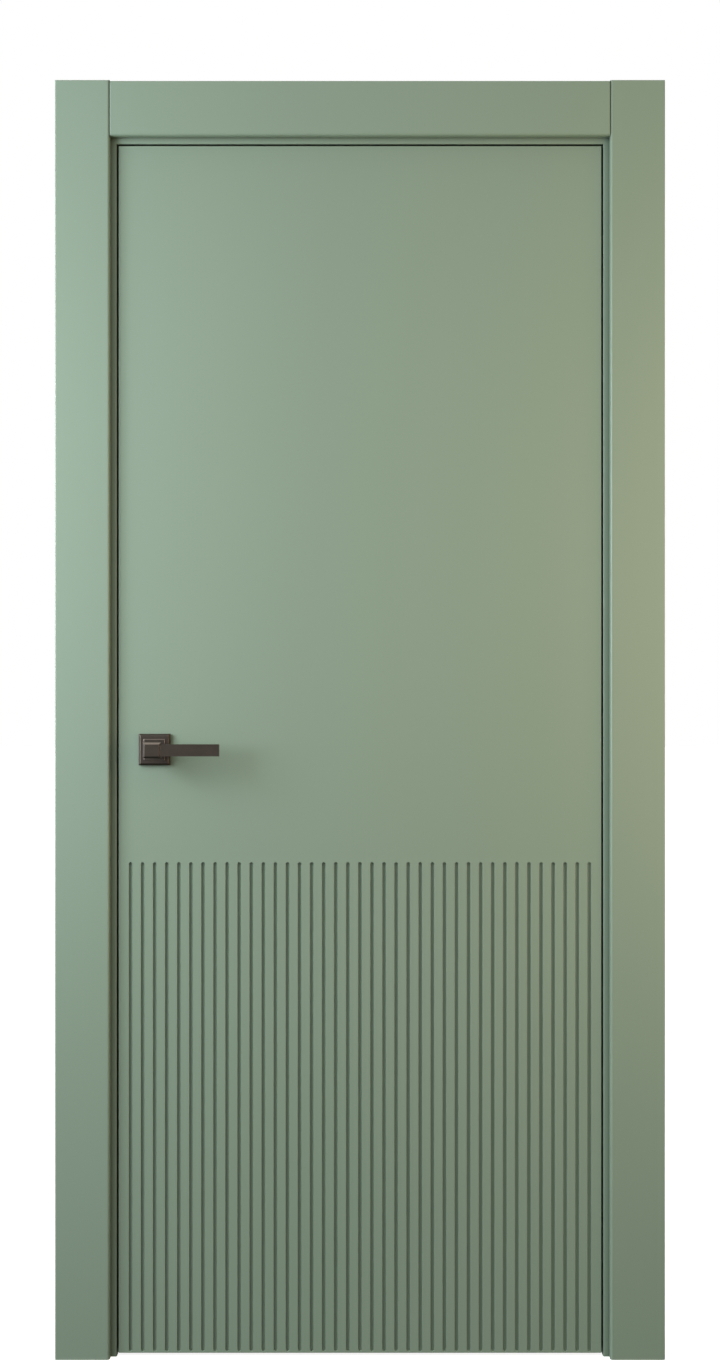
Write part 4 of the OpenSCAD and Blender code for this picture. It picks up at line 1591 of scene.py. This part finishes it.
SOFT_LIGHTS = (
    SoftLight("cool_key_left", (-1.56, -0.95, 1.56), KEY_AIM, KEY_BOX, 32.3, "#ecf3ff"),
    SoftLight(
        "warm_fill_right", (1.17, -0.68, 1.37), KEY_AIM, KEY_BOX, 8.1, "#fcdca8", Lights.MATT
    ),
    SoftLight("cool_key_behind", (1.8, 1.3, 1.7), LOW_AIM, BACK_BOX, 42.0, "#eef4ff"),
    SoftLight("warm_fill_behind", (-1.8, 1.2, 1.4), LOW_AIM, BACK_BOX, 18.0, "#ffe6c4"),
    SoftLight(
        "edge_strip_right", (1.9, -2.1, 1.2), LOW_AIM, (0.6, 1.6), 60.0, "#ffe9d2", Lights.SHINY
    ),
    SoftLight(
        "edge_strip_left", (-1.56, -0.55, 1.45), LOW_AIM, (0.6, 1.2), 18.0, "#eaf1ff", Lights.SHINY
    ),
    SoftLight("top_light", (0.0, -0.25, 3.0), TOP_AIM, (1.2, 0.5), 2.0, "#fff4ea", Lights.MATT),
)


@dataclass
class Studio:
    """White surroundings, soft boxes, a pale floor and a level camera. Lengths are in metres."""

    camera_place: Point = (0.0, -3.116, 1.088)
    lens: float = 49.46
    film: float = 36.0
    rise: float = 0.0147
    white: str = "#ffffff"
    ambient: tuple[float, float] = (0.08, 0.94)  # from the dark side of the room to the bright one
    bright_side: Point = (-0.6, -0.3, 0.74)
    floor_half: float = 40.0
    floor_colour: str = "#e6e6e3"
    floor_roughness: float = 0.8
    floor_glow: float = 0.85

    def camera(self) -> None:
        """Sets up the camera, level and square to the door."""
        data = bpy.data.cameras.new("camera")
        data.lens = self.lens
        data.sensor_width = self.film
        data.shift_y = self.rise
        holder = in_scene("camera", data)
        holder.location = self.camera_place
        holder.rotation_euler = (math.pi / 2, 0.0, 0.0)
        bpy.context.scene.camera = holder

    def surroundings(self) -> None:
        """White behind the door, and a softer light from all round that is brighter on one side."""
        world = bpy.data.worlds.new("white_studio")
        bpy.context.scene.world = world
        world.use_nodes = True
        tree = world.node_tree
        tree.nodes.clear()
        white = srgb(self.white)
        seen = add_node(tree, "ShaderNodeBackground", {"Color": white, "Strength": 1.0})
        way = {0: add_node(tree, "ShaderNodeTexCoord").outputs["Generated"], 1: self.bright_side}
        towards = add_node(tree, "ShaderNodeVectorMath", way, operation="DOT_PRODUCT")
        dark, bright = self.ambient
        ends = {"Value": towards.outputs["Value"], "To Min": dark, "To Max": bright}
        strength = add_node(tree, "ShaderNodeMapRange", ends).outputs[0]
        lit = add_node(tree, "ShaderNodeBackground", {"Color": white, "Strength": strength})
        path = add_node(tree, "ShaderNodeLightPath").outputs["Is Camera Ray"]
        inputs = {0: path, 1: lit.outputs[0], 2: seen.outputs[0]}
        either = add_node(tree, "ShaderNodeMixShader", inputs)
        add_node(tree, "ShaderNodeOutputWorld", {"Surface": either.outputs[0]})

    def floor(self) -> None:
        """Lays a wide white floor, lit from within as a light table is, to keep shadows faint."""
        half = self.floor_half
        mesh = bpy.data.meshes.new("floor")
        corners = [(x, y, 0.0) for x, y in rectangle((-half, -half), (half, half))]
        mesh.from_pydata(corners, [], [range(len(corners))])
        paint = bpy.data.materials.new("pale_floor")
        paint.use_nodes = True
        inputs = paint.node_tree.nodes["Principled BSDF"].inputs
        inputs["Base Color"].default_value = srgb(self.floor_colour)
        inputs["Roughness"].default_value = self.floor_roughness
        inputs["Emission Color"].default_value = srgb(self.white)
        inputs["Emission Strength"].default_value = self.floor_glow
        paint.cycles.emission_sampling = "NONE"
        mesh.materials.append(paint)
        floor = in_scene("floor", mesh)
        floor.visible_diffuse = floor.visible_glossy = floor.visible_shadow = False

    def build(self) -> None:
        """Sets up everything round the door."""
        bpy.context.scene.view_settings.view_transform = "Standard"
        self.camera()
        self.surroundings()
        self.floor()
        for light in SOFT_LIGHTS:
            light.build()


def main() -> None:
    """Builds the studio and the door, and logs how many faces each piece came out with."""
    logging.basicConfig(level=logging.INFO, format="%(name)s: %(message)s")
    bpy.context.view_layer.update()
    hinges, lock = ConcealedHinges(), Lock()
    Studio().build()
    Leaf().build(hinges)
    DoorFrame().build()
    hinges.build()
    lock.build()
    ReturnSpring().build()
    LeverHandle().build()
    Screws().build(hinges, lock)


if __name__ == "__main__":
    main()
